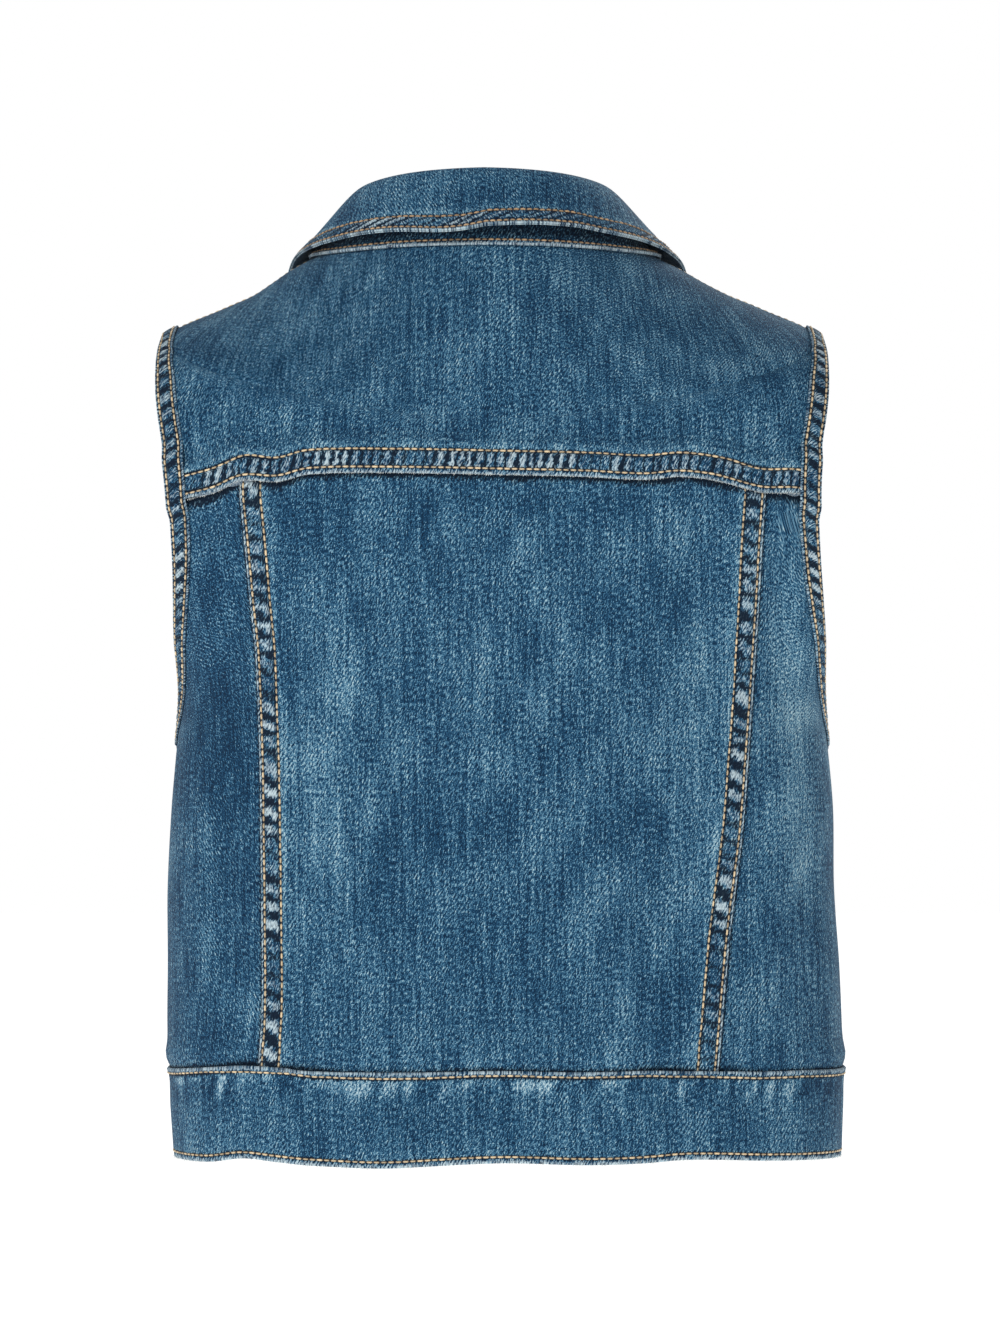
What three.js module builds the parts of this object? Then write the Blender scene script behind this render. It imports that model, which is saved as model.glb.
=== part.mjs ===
// Denim vest with a turned-down collar, in the hollow form it has when worn.
// Units are millimetres, +Z up. The back faces -Y, the front +Y, the wearer's right side +X.
// The origin lies between the two high shoulder points, where the wearer's shoulders carry the vest.
// A place on the garment is a pair: the angle round the body, in degrees, with -90 at the centre
// back, 0 at the right side and 90 at the centre front, and the height of its ring at the side.

import * as THREE from 'three';

// Cloth
const CLOTH = 1.0;
const COLLAR_CLOTH = 1.8;
const BAND_CLOTH = 1.0;
const PLACKET_CLOTH = 1.2;
const WAISTBAND_CLOTH = 2.0;
const SEAM_GAP = 0.3;

// Seams and bands
const SEAM_LAP = 12;
const LAP_RAMP = 8;
const LAP_LIFT = CLOTH + SEAM_GAP;
const DOUBLE_LAP_LIFT = 2 * LAP_LIFT;
const YOKE_LAP_LIFT = DOUBLE_LAP_LIFT + 0.5;
const YOKE_CLEARANCE = 2;
const UNDER_LAP = SEAM_LAP - SEAM_GAP;
const WAISTBAND_LIFT = DOUBLE_LAP_LIFT + 0.2;
const ARMHOLE_BAND_WIDTH = 10;
const ARMHOLE_BAND_LIFT = CLOTH + 0.6;
const SHOULDER_TIP_LIFT = 1.2;

// Heights at the side of the body
const NECK = 6;
const SHOULDER_TIP = -36;
const UNDERARM = -240;
const SHOULDER_SEAM_ANGLE = 7;
const SIDE_SEAM_ANGLE = 10;
const ARMHOLE_SPREAD_LOW = 40;
const ARMHOLE_SPREAD_HIGH = 62;
const ARMHOLE_FRONT_NARROWER = 17;
const ARMHOLE_SHOULDER_POWER = 0.5;

// Front closure, as distances across from the centre front
const PLACKET_OVER = 18;
const PLACKET_EDGE = 20;
const PLACKET_UNDER_END = 10;
const PANEL_UNDER_PLACKET = 12;
const WAISTBAND_END_RAMP = 45;
const CLOSURE_CLEARANCE = 4;

// Rows and columns of points. A panel's columns are set at its reference height.
const WAIST_CURVE_TOP = -398;
const BODY_TOP = -254;
const ARMHOLE_MIDDLE_ROW = -136;
const YOKE_CURVE_START = -86;
const WAISTBAND_MIDDLE = -430;
const PANEL_REFERENCE = -250;
const YOKE_REFERENCE = -100;
const CENTRE_COLUMNS = 9;
const SIDE_COLUMNS = 4;
const FRONT_COLUMNS = 8;
const YOKE_COLUMNS = 34;
const WAISTBAND_COLUMNS = 52;
const BAND_STATIONS = 60;

// Buttons
const BUTTON_RADIUS = 8.5;
const BUTTON_HEIGHT = 3.4;
const BUTTON_SIDES = 14;
const BUTTON_LEVELS = [-98, -161, -224, -287, -350];
const WAISTBAND_BUTTON_LEVEL = -434;

// Colours
const DENIM = 0x385a74;
const DENIM_EDGE = 0x4a6e86;
const SHANK_METAL = 0x8a7a62;

// A table of named columns, read at any key with a smooth curve through its rows
function curveTable(names, rows) {
  const keys = rows.map((row) => row[0]);
  const column = (index) => {
    const values = rows.map((row) => row[index]);
    const slopes = values.map((_, i) => {
      const before = Math.max(i - 1, 0);
      const after = Math.min(i + 1, values.length - 1);
      return (values[after] - values[before]) / (keys[after] - keys[before]);
    });
    return (key) => {
      const held = Math.min(Math.max(key, keys[0]), keys[keys.length - 1]);
      let i = 0;
      while (i < keys.length - 2 && held > keys[i + 1]) i += 1;
      const span = keys[i + 1] - keys[i];
      const t = (held - keys[i]) / span;
      const stay = (1 + 2 * t) * (1 - t) ** 2;
      const reach = t * t * (3 - 2 * t);
      const leave = span * t * (1 - t) ** 2;
      const arrive = span * t * t * (t - 1);
      return stay * values[i] + reach * values[i + 1] + leave * slopes[i] + arrive * slopes[i + 1];
    };
  };
  return Object.fromEntries(names.slice(1).map((name, i) => [name, column(i + 1)]));
}

// Rings of the body. half is the half-width that shows from behind, back and front are the depths
// at the centres, and dropBack and dropFront say how far the ring sinks there below the side.
const body = curveTable(
  ['height', 'middle', 'half', 'back', 'front', 'dropBack', 'dropFront', 'square'],
  [
    [-460, 4.0, 167.6, 83, 86, 0, 0, 2.5],
    [-432, 3.5, 169.2, 84, 87, 0, 0, 2.5],
    [-412, 3.4, 170.0, 84, 88, 0, 0, 2.5],
    [-404, 3.0, 173.2, 87, 90, 0, 0, 2.5],
    [-392, 2.4, 173.4, 88, 92, 0, 0, 2.5],
    [-360, 1.8, 172.6, 88, 94, 0, 0, 2.5],
    [-320, 0.4, 171.2, 89, 97, 0, 0, 2.5],
    [-280, 1.2, 169.8, 90, 100, 0, 0, 2.5],
    [-254, 1.3, 167.3, 91, 102, 0, 0, 2.5],
    [-220, 1.0, 163.2, 92, 103, 0, 2, 2.5],
    [-190, -0.5, 164.2, 93, 104, 1, 10, 2.5],
    [-150, -2.0, 163.6, 95, 104, 5, 30, 2.5],
    [-110, -3.5, 164.4, 96, 103, 14, 54, 2.5],
    [-80, -4.0, 166.8, 96, 102, 25, 74, 2.5],
    [-56, -4.0, 170.2, 95, 100, 36, 89, 2.6],
    [-44, -4.0, 170.8, 94, 99.5, 41.5, 96.5, 2.85],
    [-37, -4.0, 169.6, 93, 99, 44.8, 100.5, 3.2],
    [-33, -4.0, 164.6, 92, 98.6, 45, 101, 3.2],
    [-29, -4.0, 156.4, 91, 98, 44, 101, 3.05],
    [-24, -4.0, 144.0, 90, 97, 42, 100, 2.85],
    [-19.5, -4.0, 133.4, 88, 95.5, 38.5, 99, 2.65],
    [-14.9, -4.5, 122.4, 86, 94, 34, 97, 2.45],
    [-8.7, -6.0, 111.4, 82, 91, 25.3, 93.3, 2.25],
    [-2, -7.0, 100.6, 74, 87, 12, 87, 2.1],
    [6, -8.0, 85.0, 62, 80, -6, 81, 2.0],
  ],
);

// Edges that follow the photo: heights across the back, by the distance from the centre
const across = curveTable(
  ['x', 'yokeEdge', 'waistEdge', 'hemEdge'],
  [
    [-172, -124.0, -411.8, -457.5],
    [-147, -118.0, -409.4, -458.0],
    [-129, -111.4, -408.0, -455.4],
    [-112, -112.2, -408.4, -456.8],
    [-96, -108.6, -410.4, -458.2],
    [-56, -108.0, -411.8, -459.0],
    [0, -109.0, -409.7, -456.4],
    [44, -110.0, -410.8, -457.4],
    [73, -111.3, -410.2, -456.4],
    [91, -109.8, -410.6, -455.2],
    [110, -112.0, -411.2, -455.4],
    [131, -117.4, -412.0, -456.4],
    [150, -117.8, -412.0, -457.0],
    [172, -124.0, -411.8, -457.5],
  ],
);

// Distance from the centre to the folded edge of the centre back panel, by height
const panelSeam = curveTable(
  ['height', 'left', 'right'],
  [
    [-411, 122.0, 110.0],
    [-380, 120.0, 112.6],
    [-340, 120.0, 116.2],
    [-290, 120.5, 122.3],
    [-250, 121.0, 125.2],
    [-200, 123.0, 128.5],
    [-170, 126.0, 130.5],
    [-140, 128.5, 132.0],
    [-110, 131.0, 133.8],
  ],
);

// Soft folds, placed by hand: rise is outward, turn is in degrees from upright
const foldNames = ['side', 'x', 'z', 'turn', 'long', 'wide', 'rise'];
const folds = [
  ['back', 156, -188, -4, 48, 9, 2.6],
  ['back', 143, -170, -3, 60, 9, -1.8],
  ['back', 146, -265, -2, 70, 16, 2.0],
  ['back', -84, -245, 3, 95, 20, 1.6],
  ['back', -52, -300, -2, 110, 24, -1.6],
  ['back', 34, -255, 2, 120, 34, 1.4],
  ['back', 86, -330, 7, 70, 20, -1.6],
  ['back', -155, -205, 5, 60, 10, 2.0],
  ['back', -146, -132, 24, 20, 7, -2.0],
  ['back', -124, -436, 68, 17, 5, -1.5],
  ['back', -60, -445, 12, 20, 16, 1.2],
  ['back', 70, -446, -8, 22, 18, 1.2],
  ['back', 112, -44, 58, 45, 15, -1.5],
  ['back', -118, -48, -58, 45, 15, -1.5],
  ['front', 92, -196, 12, 80, 20, 2.0],
  ['front', -96, -188, -10, 84, 20, 2.0],
  ['front', 128, -215, 38, 42, 10, -2.0],
  ['front', -130, -212, -36, 42, 10, -2.0],
  ['front', 60, -330, 4, 90, 22, -1.8],
  ['front', -64, -322, -5, 90, 22, -1.8],
  ['front', 120, -345, -3, 60, 18, 1.8],
  ['front', -118, -350, 3, 60, 18, 1.8],
  ['front', -104, -440, -66, 17, 5, -1.5],
].map((row) => Object.fromEntries(foldNames.map((name, i) => [name, row[i]])));

const radians = THREE.MathUtils.degToRad;
const smooth = THREE.MathUtils.smoothstep;
const mix = THREE.MathUtils.lerp;

// How far a rounded-square ring of unit size reaches in a direction
function reach(angle, square) {
  const sideways = Math.abs(Math.cos(radians(angle))) ** square;
  const lengthways = Math.abs(Math.sin(radians(angle))) ** square;
  return (sideways + lengthways) ** (-1 / square);
}

// The armhole is an egg shape in angle and height, blunt at the shoulder, and further forward at
// the underarm. The power squares its upper half, so that the band there faces straight back.
// turn runs from 0 at the shoulder, down the back edge, to 180 at the underarm and up the front.
const ARMHOLE_MIDDLE = (SHOULDER_TIP + UNDERARM) / 2;
const ARMHOLE_RISE = (SHOULDER_TIP - UNDERARM) / 2;
const SHOULDER_SLOPE_RISE = 0.45;
const DEGREES_PER_MM = 1 / 3;

function armholePlace(turn, inward = 0) {
  const up = Math.cos(radians(turn));
  const back = Math.sin(radians(turn));
  const rise = ARMHOLE_RISE + inward * (up > 0 ? SHOULDER_SLOPE_RISE : 1);
  const height = ARMHOLE_MIDDLE + rise * up;
  const middle = mix(SIDE_SEAM_ANGLE, SHOULDER_SEAM_ANGLE, (up + 1) / 2);
  const full = mix(ARMHOLE_SPREAD_LOW, ARMHOLE_SPREAD_HIGH, smooth(up, -1, 1));
  const spread = back > 0 ? full : full - ARMHOLE_FRONT_NARROWER;
  const power = mix(1, ARMHOLE_SHOULDER_POWER, smooth(up, -0.5, 0.5));
  const reached = Math.sign(back) * Math.abs(back) ** power;
  return { angle: middle - (spread + inward * DEGREES_PER_MM) * reached, height };
}

function armholeTurn(height) {
  const up = THREE.MathUtils.clamp((height - ARMHOLE_MIDDLE) / ARMHOLE_RISE, -1, 1);
  return THREE.MathUtils.radToDeg(Math.acos(up));
}

// Angle of the armhole's back or front edge at a height, with the seams above and below it
function armholeEdge(height, face) {
  if (height >= SHOULDER_TIP) return SHOULDER_SEAM_ANGLE;
  if (height <= UNDERARM) return SIDE_SEAM_ANGLE;
  const turn = armholeTurn(height);
  return armholePlace(face === 'back' ? turn : 360 - turn).angle;
}

// The wearer-side surface of the garment before its folds
function plainBody(angle, height) {
  const square = body.square(height);
  const backEdge = Math.min(armholeEdge(height, 'back'), 0);
  const showing = reach(backEdge, square) * Math.cos(radians(backEdge));
  const half = body.half(height) / showing;
  const length = reach(angle, square);
  const along = Math.sin(radians(angle));
  const depth = along < 0 ? body.back(height) : body.front(height);
  const drop = along < 0 ? body.dropBack(height) : body.dropFront(height);
  return new THREE.Vector3(
    body.middle(height) + half * length * Math.cos(radians(angle)),
    depth * length * along,
    height - drop * along * along,
  );
}

function foldRise(point, angle) {
  const side = Math.sin(radians(angle)) < 0 ? 'back' : 'front';
  return folds.filter((fold) => fold.side === side).reduce((sum, fold) => {
    const lean = radians(fold.turn);
    const dx = point.x - fold.x;
    const dz = point.z - fold.z;
    const lengthwise = (dz * Math.cos(lean) + dx * Math.sin(lean)) / fold.long;
    const sideways = (dx * Math.cos(lean) - dz * Math.sin(lean)) / fold.wide;
    return sum + fold.rise * Math.exp(-(lengthwise ** 2) - sideways ** 2);
  }, 0);
}

function outward(surface, angle, height) {
  const step = 0.5;
  const round = surface(angle + step, height).sub(surface(angle - step, height));
  const lower = Math.min(height, NECK - step);
  const up = surface(angle, lower + step).sub(surface(angle, lower - step));
  return round.cross(up).normalize();
}

function foldedBody(angle, height) {
  const point = plainBody(angle, height);
  return point.addScaledVector(outward(plainBody, angle, height), foldRise(point, angle));
}

// A place on the garment, moved out from the body by lift
function place(angle, height, lift) {
  return foldedBody(angle, height).addScaledVector(outward(foldedBody, angle, height), lift);
}

// Places found from real distances
function angleAtX(x, height) {
  let low = x < 0 ? -180 : -90;
  let high = x < 0 ? -90 : 0;
  for (let step = 0; step < 30; step += 1) {
    const half = (low + high) / 2;
    if (plainBody(half, height).x < x) low = half;
    else high = half;
  }
  return (low + high) / 2;
}

const frontAngleAtX = (x, height) => -angleAtX(x, height);

function moveRound(angle, height, distance) {
  const ahead = plainBody(angle + 1, height).distanceTo(plainBody(angle, height));
  return angle + distance / ahead;
}

function heightOfEdge(edge, angle, start) {
  let height = start;
  for (let step = 0; step < 6; step += 1) {
    const point = plainBody(angle, height);
    height += edge(point.x) - point.z;
  }
  return height;
}

// Ring heights of the edges. The waist and the hem are level, so their rings are read at one height.
const YOKE_SEARCH_START = -95;
const WAIST_LEVEL = -411;
const HEM_LEVEL = -457;

function yokeHeight(angle, above = 0) {
  return heightOfEdge((x) => across.yokeEdge(x) + above, angle, YOKE_SEARCH_START);
}

const frontHeight = (z) => heightOfEdge(() => z, 90, z);
const waistHeight = (angle) => across.waistEdge(plainBody(angle, WAIST_LEVEL).x);
const hemHeight = (angle) => across.hemEdge(plainBody(angle, HEM_LEVEL).x);
const mirrored = (angle) => -180 - angle;

// A closed wall from a grid of outer points and their inner partners
function wallMesh(name, outer, inner, colour, closed = false) {
  const rows = outer.length;
  const columns = outer[0].length;
  const positions = [...outer.flat(), ...inner.flat()].flatMap((point) => point.toArray());
  const shift = rows * columns;
  const at = (row, column) => row * columns + (column % columns);
  const faces = [];
  const quad = (a, b, c, d) => faces.push(a, b, c, a, c, d);
  const lastColumn = closed ? columns : columns - 1;
  for (let row = 0; row < rows - 1; row += 1) {
    for (let column = 0; column < lastColumn; column += 1) {
      const lower = [at(row, column), at(row, column + 1)];
      const upper = [at(row + 1, column + 1), at(row + 1, column)];
      const corners = [...lower, ...upper];
      quad(...corners);
      quad(...corners.map((corner) => corner + shift).reverse());
    }
  }
  for (let column = 0; column < lastColumn; column += 1) {
    const low = [at(0, column + 1), at(0, column)];
    const high = [at(rows - 1, column), at(rows - 1, column + 1)];
    quad(low[0], low[1], low[1] + shift, low[0] + shift);
    quad(high[0], high[1], high[1] + shift, high[0] + shift);
  }
  if (!closed) {
    for (let row = 0; row < rows - 1; row += 1) {
      const start = [at(row, 0), at(row + 1, 0)];
      const end = [at(row + 1, columns - 1), at(row, columns - 1)];
      quad(start[0], start[1], start[1] + shift, start[0] + shift);
      quad(end[0], end[1], end[1] + shift, end[0] + shift);
    }
  }
  const geometry = new THREE.BufferGeometry();
  geometry.setAttribute('position', new THREE.Float32BufferAttribute(positions, 3));
  geometry.setIndex(volume(positions, faces) < 0 ? faces.reverse() : faces);
  geometry.computeVertexNormals();
  return namedMesh(name, geometry, colour);
}

function volume(positions, faces) {
  const corner = (index) => new THREE.Vector3().fromArray(positions, index * 3);
  let sum = 0;
  for (let i = 0; i < faces.length; i += 3) {
    sum += corner(faces[i]).dot(corner(faces[i + 1]).cross(corner(faces[i + 2])));
  }
  return sum / 6;
}

function namedMesh(name, geometry, colour, metalness = 0) {
  const roughness = metalness > 0 ? 0.4 : 0.85;
  const material = new THREE.MeshStandardMaterial({ color: colour, roughness, metalness });
  const mesh = new THREE.Mesh(geometry, material);
  mesh.name = name;
  return mesh;
}

// A panel of cloth: places is a grid of { angle, height, lift } from the lowest row up
function panelMesh(name, places, thickness = CLOTH, colour = DENIM, closed = false) {
  const at = (spot, extra) => place(spot.angle, spot.height, spot.lift + extra);
  const layer = (extra) => places.map((row) => row.map((spot) => at(spot, extra)));
  return wallMesh(name, layer(thickness), layer(0), colour, closed);
}

// The same grid on the other side of the body
function mirroredPlaces(places) {
  return places.map((row) => row.map((spot) => ({ ...spot, angle: mirrored(spot.angle) })));
}

function spaced(from, to, count) {
  return Array.from({ length: count + 1 }, (_, i) => mix(from, to, i / count));
}

// Heights spaced evenly round the armhole's oval
function roundSpaced(from, to, count) {
  const turns = spaced(armholeTurn(from), armholeTurn(to), count);
  return turns.map((turn) => armholePlace(turn).height);
}

// Rows up the body, as heights that hold at every column
const LOW_ROWS = [...spaced(WAIST_CURVE_TOP, BODY_TOP, 6), UNDERARM - 4];
const ARMHOLE_ROWS = roundSpaced(UNDERARM, ARMHOLE_MIDDLE_ROW, 6);

function backRows(edgeAngle) {
  const waist = waistHeight(edgeAngle);
  const lap = [0, UNDER_LAP].map((above) => yokeHeight(edgeAngle, above));
  return [waist - UNDER_LAP, waist, ...LOW_ROWS, ...ARMHOLE_ROWS, ...lap];
}

// Centre back panel. Its outer two columns on each side lap over the side panels.
const LAPPED_COLUMNS = 2;

function seamAngle(side, height) {
  const x = side === 'left' ? -panelSeam.left(height) : panelSeam.right(height);
  return angleAtX(x, height);
}

function centreAngles(height) {
  const left = seamAngle('left', height);
  const right = seamAngle('right', height);
  const leftRamp = moveRound(left, height, SEAM_LAP + LAP_RAMP);
  const rightRamp = moveRound(right, height, -SEAM_LAP - LAP_RAMP);
  return [
    left,
    moveRound(left, height, SEAM_LAP),
    ...spaced(leftRamp, rightRamp, CENTRE_COLUMNS),
    moveRound(right, height, -SEAM_LAP),
    right,
  ];
}

function backCentre() {
  const reference = centreAngles(PANEL_REFERENCE);
  const last = reference.length - 1;
  const rows = reference.map((angle) => backRows(angle));
  const places = rows[0].map((_, row) => reference.map((_angle, column) => {
    const height = rows[column][row];
    const lapped = Math.min(column, last - column) < LAPPED_COLUMNS;
    return { angle: centreAngles(height)[column], height, lift: lapped ? LAP_LIFT : 0 };
  }));
  return panelMesh('back_center', places);
}

// Side back panels, from under the centre panel's edge to the side seam and the armhole
function sideAngles(side, height) {
  const own = side === 'right' ? (angle) => angle : mirrored;
  const edge = own(seamAngle(side, height));
  const end = armholeEdge(height, 'back') - SEAM_GAP * DEGREES_PER_MM;
  const inner = moveRound(end, height, -ARMHOLE_BAND_WIDTH);
  const under = moveRound(edge, height, -UNDER_LAP);
  return [under, ...spaced(edge, inner, SIDE_COLUMNS), end].map(own);
}

function backSide(side) {
  const reference = sideAngles(side, PANEL_REFERENCE);
  const rows = reference.map((angle) => backRows(angle));
  const places = rows[0].map((_, row) => reference.map((_angle, column) => {
    const height = rows[column][row];
    return { angle: sideAngles(side, height)[column], height, lift: 0 };
  }));
  return panelMesh(`back_side_${side}`, places);
}

// Back yoke, lapped over the panels below it and carried over both shoulders. Each column climbs
// from the top of its own lap to the shoulder tip by the same shares, spaced round the armhole.
const YOKE_SHARES = roundSpaced(YOKE_CURVE_START, SHOULDER_TIP, 8)
  .slice(1)
  .map((height) => (height - YOKE_CURVE_START) / (SHOULDER_TIP - YOKE_CURVE_START));
const SHOULDER_ROWS = [-29, -19.5, -8.7, -2, NECK];

function backYoke() {
  const at = (height, part) => {
    const end = armholeEdge(height, 'back');
    return mix(mirrored(end), end, part);
  };
  const parts = spaced(0, 1, YOKE_COLUMNS);
  const rows = parts.map((part) => {
    const edge = (above) => yokeHeight(at(YOKE_REFERENCE, part), above);
    const lapTop = edge(SEAM_LAP + YOKE_CLEARANCE + LAP_RAMP);
    const climb = YOKE_SHARES.map((share) => mix(lapTop, SHOULDER_TIP, share));
    return [
      { height: edge(0), lift: YOKE_LAP_LIFT },
      { height: edge(SEAM_LAP + YOKE_CLEARANCE), lift: YOKE_LAP_LIFT },
      ...[lapTop, ...climb, ...SHOULDER_ROWS].map((height) => ({ height, lift: 0 })),
    ];
  });
  const places = rows[0].map((_, row) => parts.map((part, column) => {
    const { height, lift } = rows[column][row];
    return { angle: at(height, part), height, lift };
  }));
  return panelMesh('yoke_back', places);
}

// Fronts, from under the placket to the side seam, the armhole and the shoulder seam. The left one
// is laid out on the right side and turned over, with its own edge under its own placket.
const FRONT_ROWS = [...LOW_ROWS, ...roundSpaced(UNDERARM, SHOULDER_TIP, 11), ...SHOULDER_ROWS];

function frontStart(side, height) {
  if (side === 'right') return frontAngleAtX(PANEL_UNDER_PLACKET, height);
  return 180 - frontAngleAtX(-PANEL_UNDER_PLACKET, height);
}

function frontPlaces(side) {
  const columns = spaced(0, 1, FRONT_COLUMNS);
  const rowsAt = (angle) => [waistHeight(angle) - UNDER_LAP, waistHeight(angle), ...FRONT_ROWS];
  const anglesAt = (height) => {
    const end = armholeEdge(height, 'front') + SEAM_GAP * DEGREES_PER_MM;
    const start = frontStart(side, height);
    const inner = moveRound(end, height, ARMHOLE_BAND_WIDTH);
    return [...columns.map((part) => mix(start, inner, part)), end];
  };
  const reference = anglesAt(PANEL_REFERENCE);
  const rows = reference.map((angle) => rowsAt(angle));
  return rows[0].map((_, row) => reference.map((_angle, column) => {
    const height = rows[column][row];
    return { angle: anglesAt(height)[column], height, lift: 0 };
  }));
}

// Button bands. The right one laps over the left, with the front panel's edge beneath it.
const PLACKET_ROWS = [
  ...spaced(WAIST_CURVE_TOP, BODY_TOP, 5),
  ...spaced(-220, -60, 7),
  SHOULDER_TIP,
  ...SHOULDER_ROWS,
];

function placket(side) {
  const over = side === 'right';
  const lift = over ? LAP_LIFT + PLACKET_CLOTH + SEAM_GAP : LAP_LIFT;
  const [start, end] = over ? [PLACKET_EDGE, -PLACKET_OVER] : [PLACKET_UNDER_END, -PLACKET_EDGE];
  const waist = waistHeight(90);
  const bottom = over ? waist + SEAM_GAP : waist - UNDER_LAP;
  const lap = over ? [bottom] : [bottom, waist];
  const spot = (x, height) => ({ angle: frontAngleAtX(x, height), height, lift });
  const inner = [PANEL_UNDER_PLACKET, 0, -PANEL_UNDER_PLACKET].filter((x) => x < start && x > end);
  const columns = [start, ...inner, end];
  const places = [...lap, ...PLACKET_ROWS].map((height) => columns.map((x) => spot(x, height)));
  return panelMesh(`placket_${side}`, places, PLACKET_CLOTH);
}

// Waistband, from its left end under the closure, round the back, to its right end on top
const CLOSURE_LIFT = WAISTBAND_CLOTH + SEAM_GAP;

function waistband() {
  const start = frontAngleAtX(PLACKET_UNDER_END, WAISTBAND_MIDDLE) - 360;
  const end = frontAngleAtX(-PLACKET_OVER, WAISTBAND_MIDDLE);
  const ramp = frontAngleAtX(WAISTBAND_END_RAMP, WAISTBAND_MIDDLE);
  const over = frontAngleAtX(PLACKET_EDGE + CLOSURE_CLEARANCE, WAISTBAND_MIDDLE);
  const angles = [...spaced(start, ramp, WAISTBAND_COLUMNS), over, end];
  const rows = [
    (angle) => hemHeight(angle),
    () => WAISTBAND_MIDDLE,
    (angle) => waistHeight(angle) - SEAM_LAP,
    (angle) => waistHeight(angle),
  ];
  const places = rows.map((height) => angles.map((angle) => ({
    angle,
    height: height(angle),
    lift: WAISTBAND_LIFT + (angle >= over ? CLOSURE_LIFT : 0),
  })));
  return panelMesh('waistband', places, WAISTBAND_CLOTH);
}

// Armhole bands, round each armhole. Each climbs on to the lapped edge of the yoke and comes down
// again above the lap: climb and descent are distances above the yoke's edge.
const TIP_RAMP = 20;
const CLIMB = { start: -12, end: -3 };
const DESCENT = { start: SEAM_LAP + 8, end: SEAM_LAP + LAP_RAMP + 14 };
const BAND_INWARD = [0.2, ARMHOLE_BAND_WIDTH / 2, ARMHOLE_BAND_WIDTH];

function armholeBandLift({ angle, height }) {
  const overTip = SHOULDER_TIP_LIFT * smooth(height, SHOULDER_TIP - TIP_RAMP, SHOULDER_TIP);
  if (angle > 0) return ARMHOLE_BAND_LIFT + overTip;
  const above = height - yokeHeight(angle);
  const onYoke = smooth(above, CLIMB.start, CLIMB.end) - smooth(above, DESCENT.start, DESCENT.end);
  return ARMHOLE_BAND_LIFT + overTip + YOKE_LAP_LIFT * onYoke;
}

function armholeBand(side) {
  const stations = spaced(0, 360, BAND_STATIONS).slice(0, -1);
  const places = BAND_INWARD.map((inward) => stations.map((turn) => {
    const spot = armholePlace(turn, inward);
    return { ...spot, lift: armholeBandLift(spot) };
  }));
  const own = side === 'right' ? places : mirroredPlaces(places);
  return panelMesh(`armhole_band_${side}`, own, BAND_CLOTH, DENIM_EDGE, true);
}

// Collar. turn runs from 0 at the centre back to 174 at the front ends, on both sides.
// The stand rises from the neck seam and leans in, and the fall turns over it to an outer edge
// that is placed over the shoulders and fronts by its own angle and height, and by its lift.
const collar = curveTable(
  ['turn', 'tuck', 'lap', 'leanIn', 'rise', 'edgeAngle', 'edgeHeight', 'edgeLift'],
  [
    [0, 1.2, 1.7, 12, 34.5, 0, 6, 14],
    [30, 1.3, 1.7, 15, 34, 30, 5.6, 13],
    [60, 1.8, 1.7, 21, 33, 60, 3.8, 9],
    [90, 2.2, 1.8, 24, 31, 90, 0.5, 4.6],
    [112, 2.4, 1.9, 18, 27, 111, -6, 5.6],
    [132, 2.7, 2.2, 8, 22, 131, -15, 6.4],
    [152, 3.0, 3.6, 1, 15, 147, -27, 7.0],
    [160, 3.0, 4.6, 0, 13, 151, -31, 7.4],
    [174, 3.0, 4.6, 0, 10, 159, -39, 8.0],
  ],
);
const COLLAR_END = 174;
const COLLAR_COLUMNS = 44;
const FOLD_RADIUS = 3.2;
const NECK_CENTRE_DEPTH = 9;
const collarTurns = spaced(-COLLAR_END, COLLAR_END, COLLAR_COLUMNS);

function collarStation(turn) {
  const size = Math.abs(turn);
  const side = Math.sign(turn) || 1;
  const angle = -90 + turn;
  const lap = collar.lap(size);
  const low = place(angle, NECK - collar.tuck(size), lap);
  const base = place(angle, NECK, lap);
  const toCentre = new THREE.Vector3(body.middle(NECK) - base.x, NECK_CENTRE_DEPTH - base.y, 0);
  const inward = toCentre.normalize();
  const roll = base.clone().addScaledVector(inward, collar.leanIn(size));
  roll.z += collar.rise(size);
  const standTop = roll.clone().addScaledVector(inward, FOLD_RADIUS);
  standTop.z -= FOLD_RADIUS;
  const edgeAngle = -90 + side * collar.edgeAngle(size);
  const edge = place(edgeAngle, collar.edgeHeight(size), collar.edgeLift(size));
  return { low, base, roll, standTop, edge, inward };
}

function thickened(grid, thickness) {
  const last = grid.length - 1;
  const end = grid[0].length - 1;
  return grid.map((row, i) => row.map((point, j) => {
    const along = grid[i][Math.min(j + 1, end)].clone().sub(grid[i][Math.max(j - 1, 0)]);
    const up = grid[Math.min(i + 1, last)][j].clone().sub(grid[Math.max(i - 1, 0)][j]);
    return point.clone().addScaledVector(along.cross(up).normalize(), thickness);
  }));
}

function collarStand() {
  const stations = collarTurns.map(collarStation);
  const grid = [
    stations.map(({ low }) => low),
    stations.map(({ base }) => base),
    stations.map(({ base, standTop }) => base.clone().lerp(standTop, 0.5)),
    stations.map(({ standTop }) => standTop),
  ];
  return wallMesh('collar_stand', thickened(grid, COLLAR_CLOTH), grid, DENIM);
}

// The fall's section starts above the stand, turns over at the roll and runs down to the edge.
// Its curve leaves the roll level and bends in a little before the edge.
const ROLL_REACH = 2.2 * FOLD_RADIUS;
const BEND = { part: 0.6, inward: 1.5 };
const TURN_OVER = { inward: 0.7 * FOLD_RADIUS, down: 0.25 * FOLD_RADIUS };
const FALL_PARTS = [0, 0.18, 0.4, 0.64, 0.84, 1];

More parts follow.
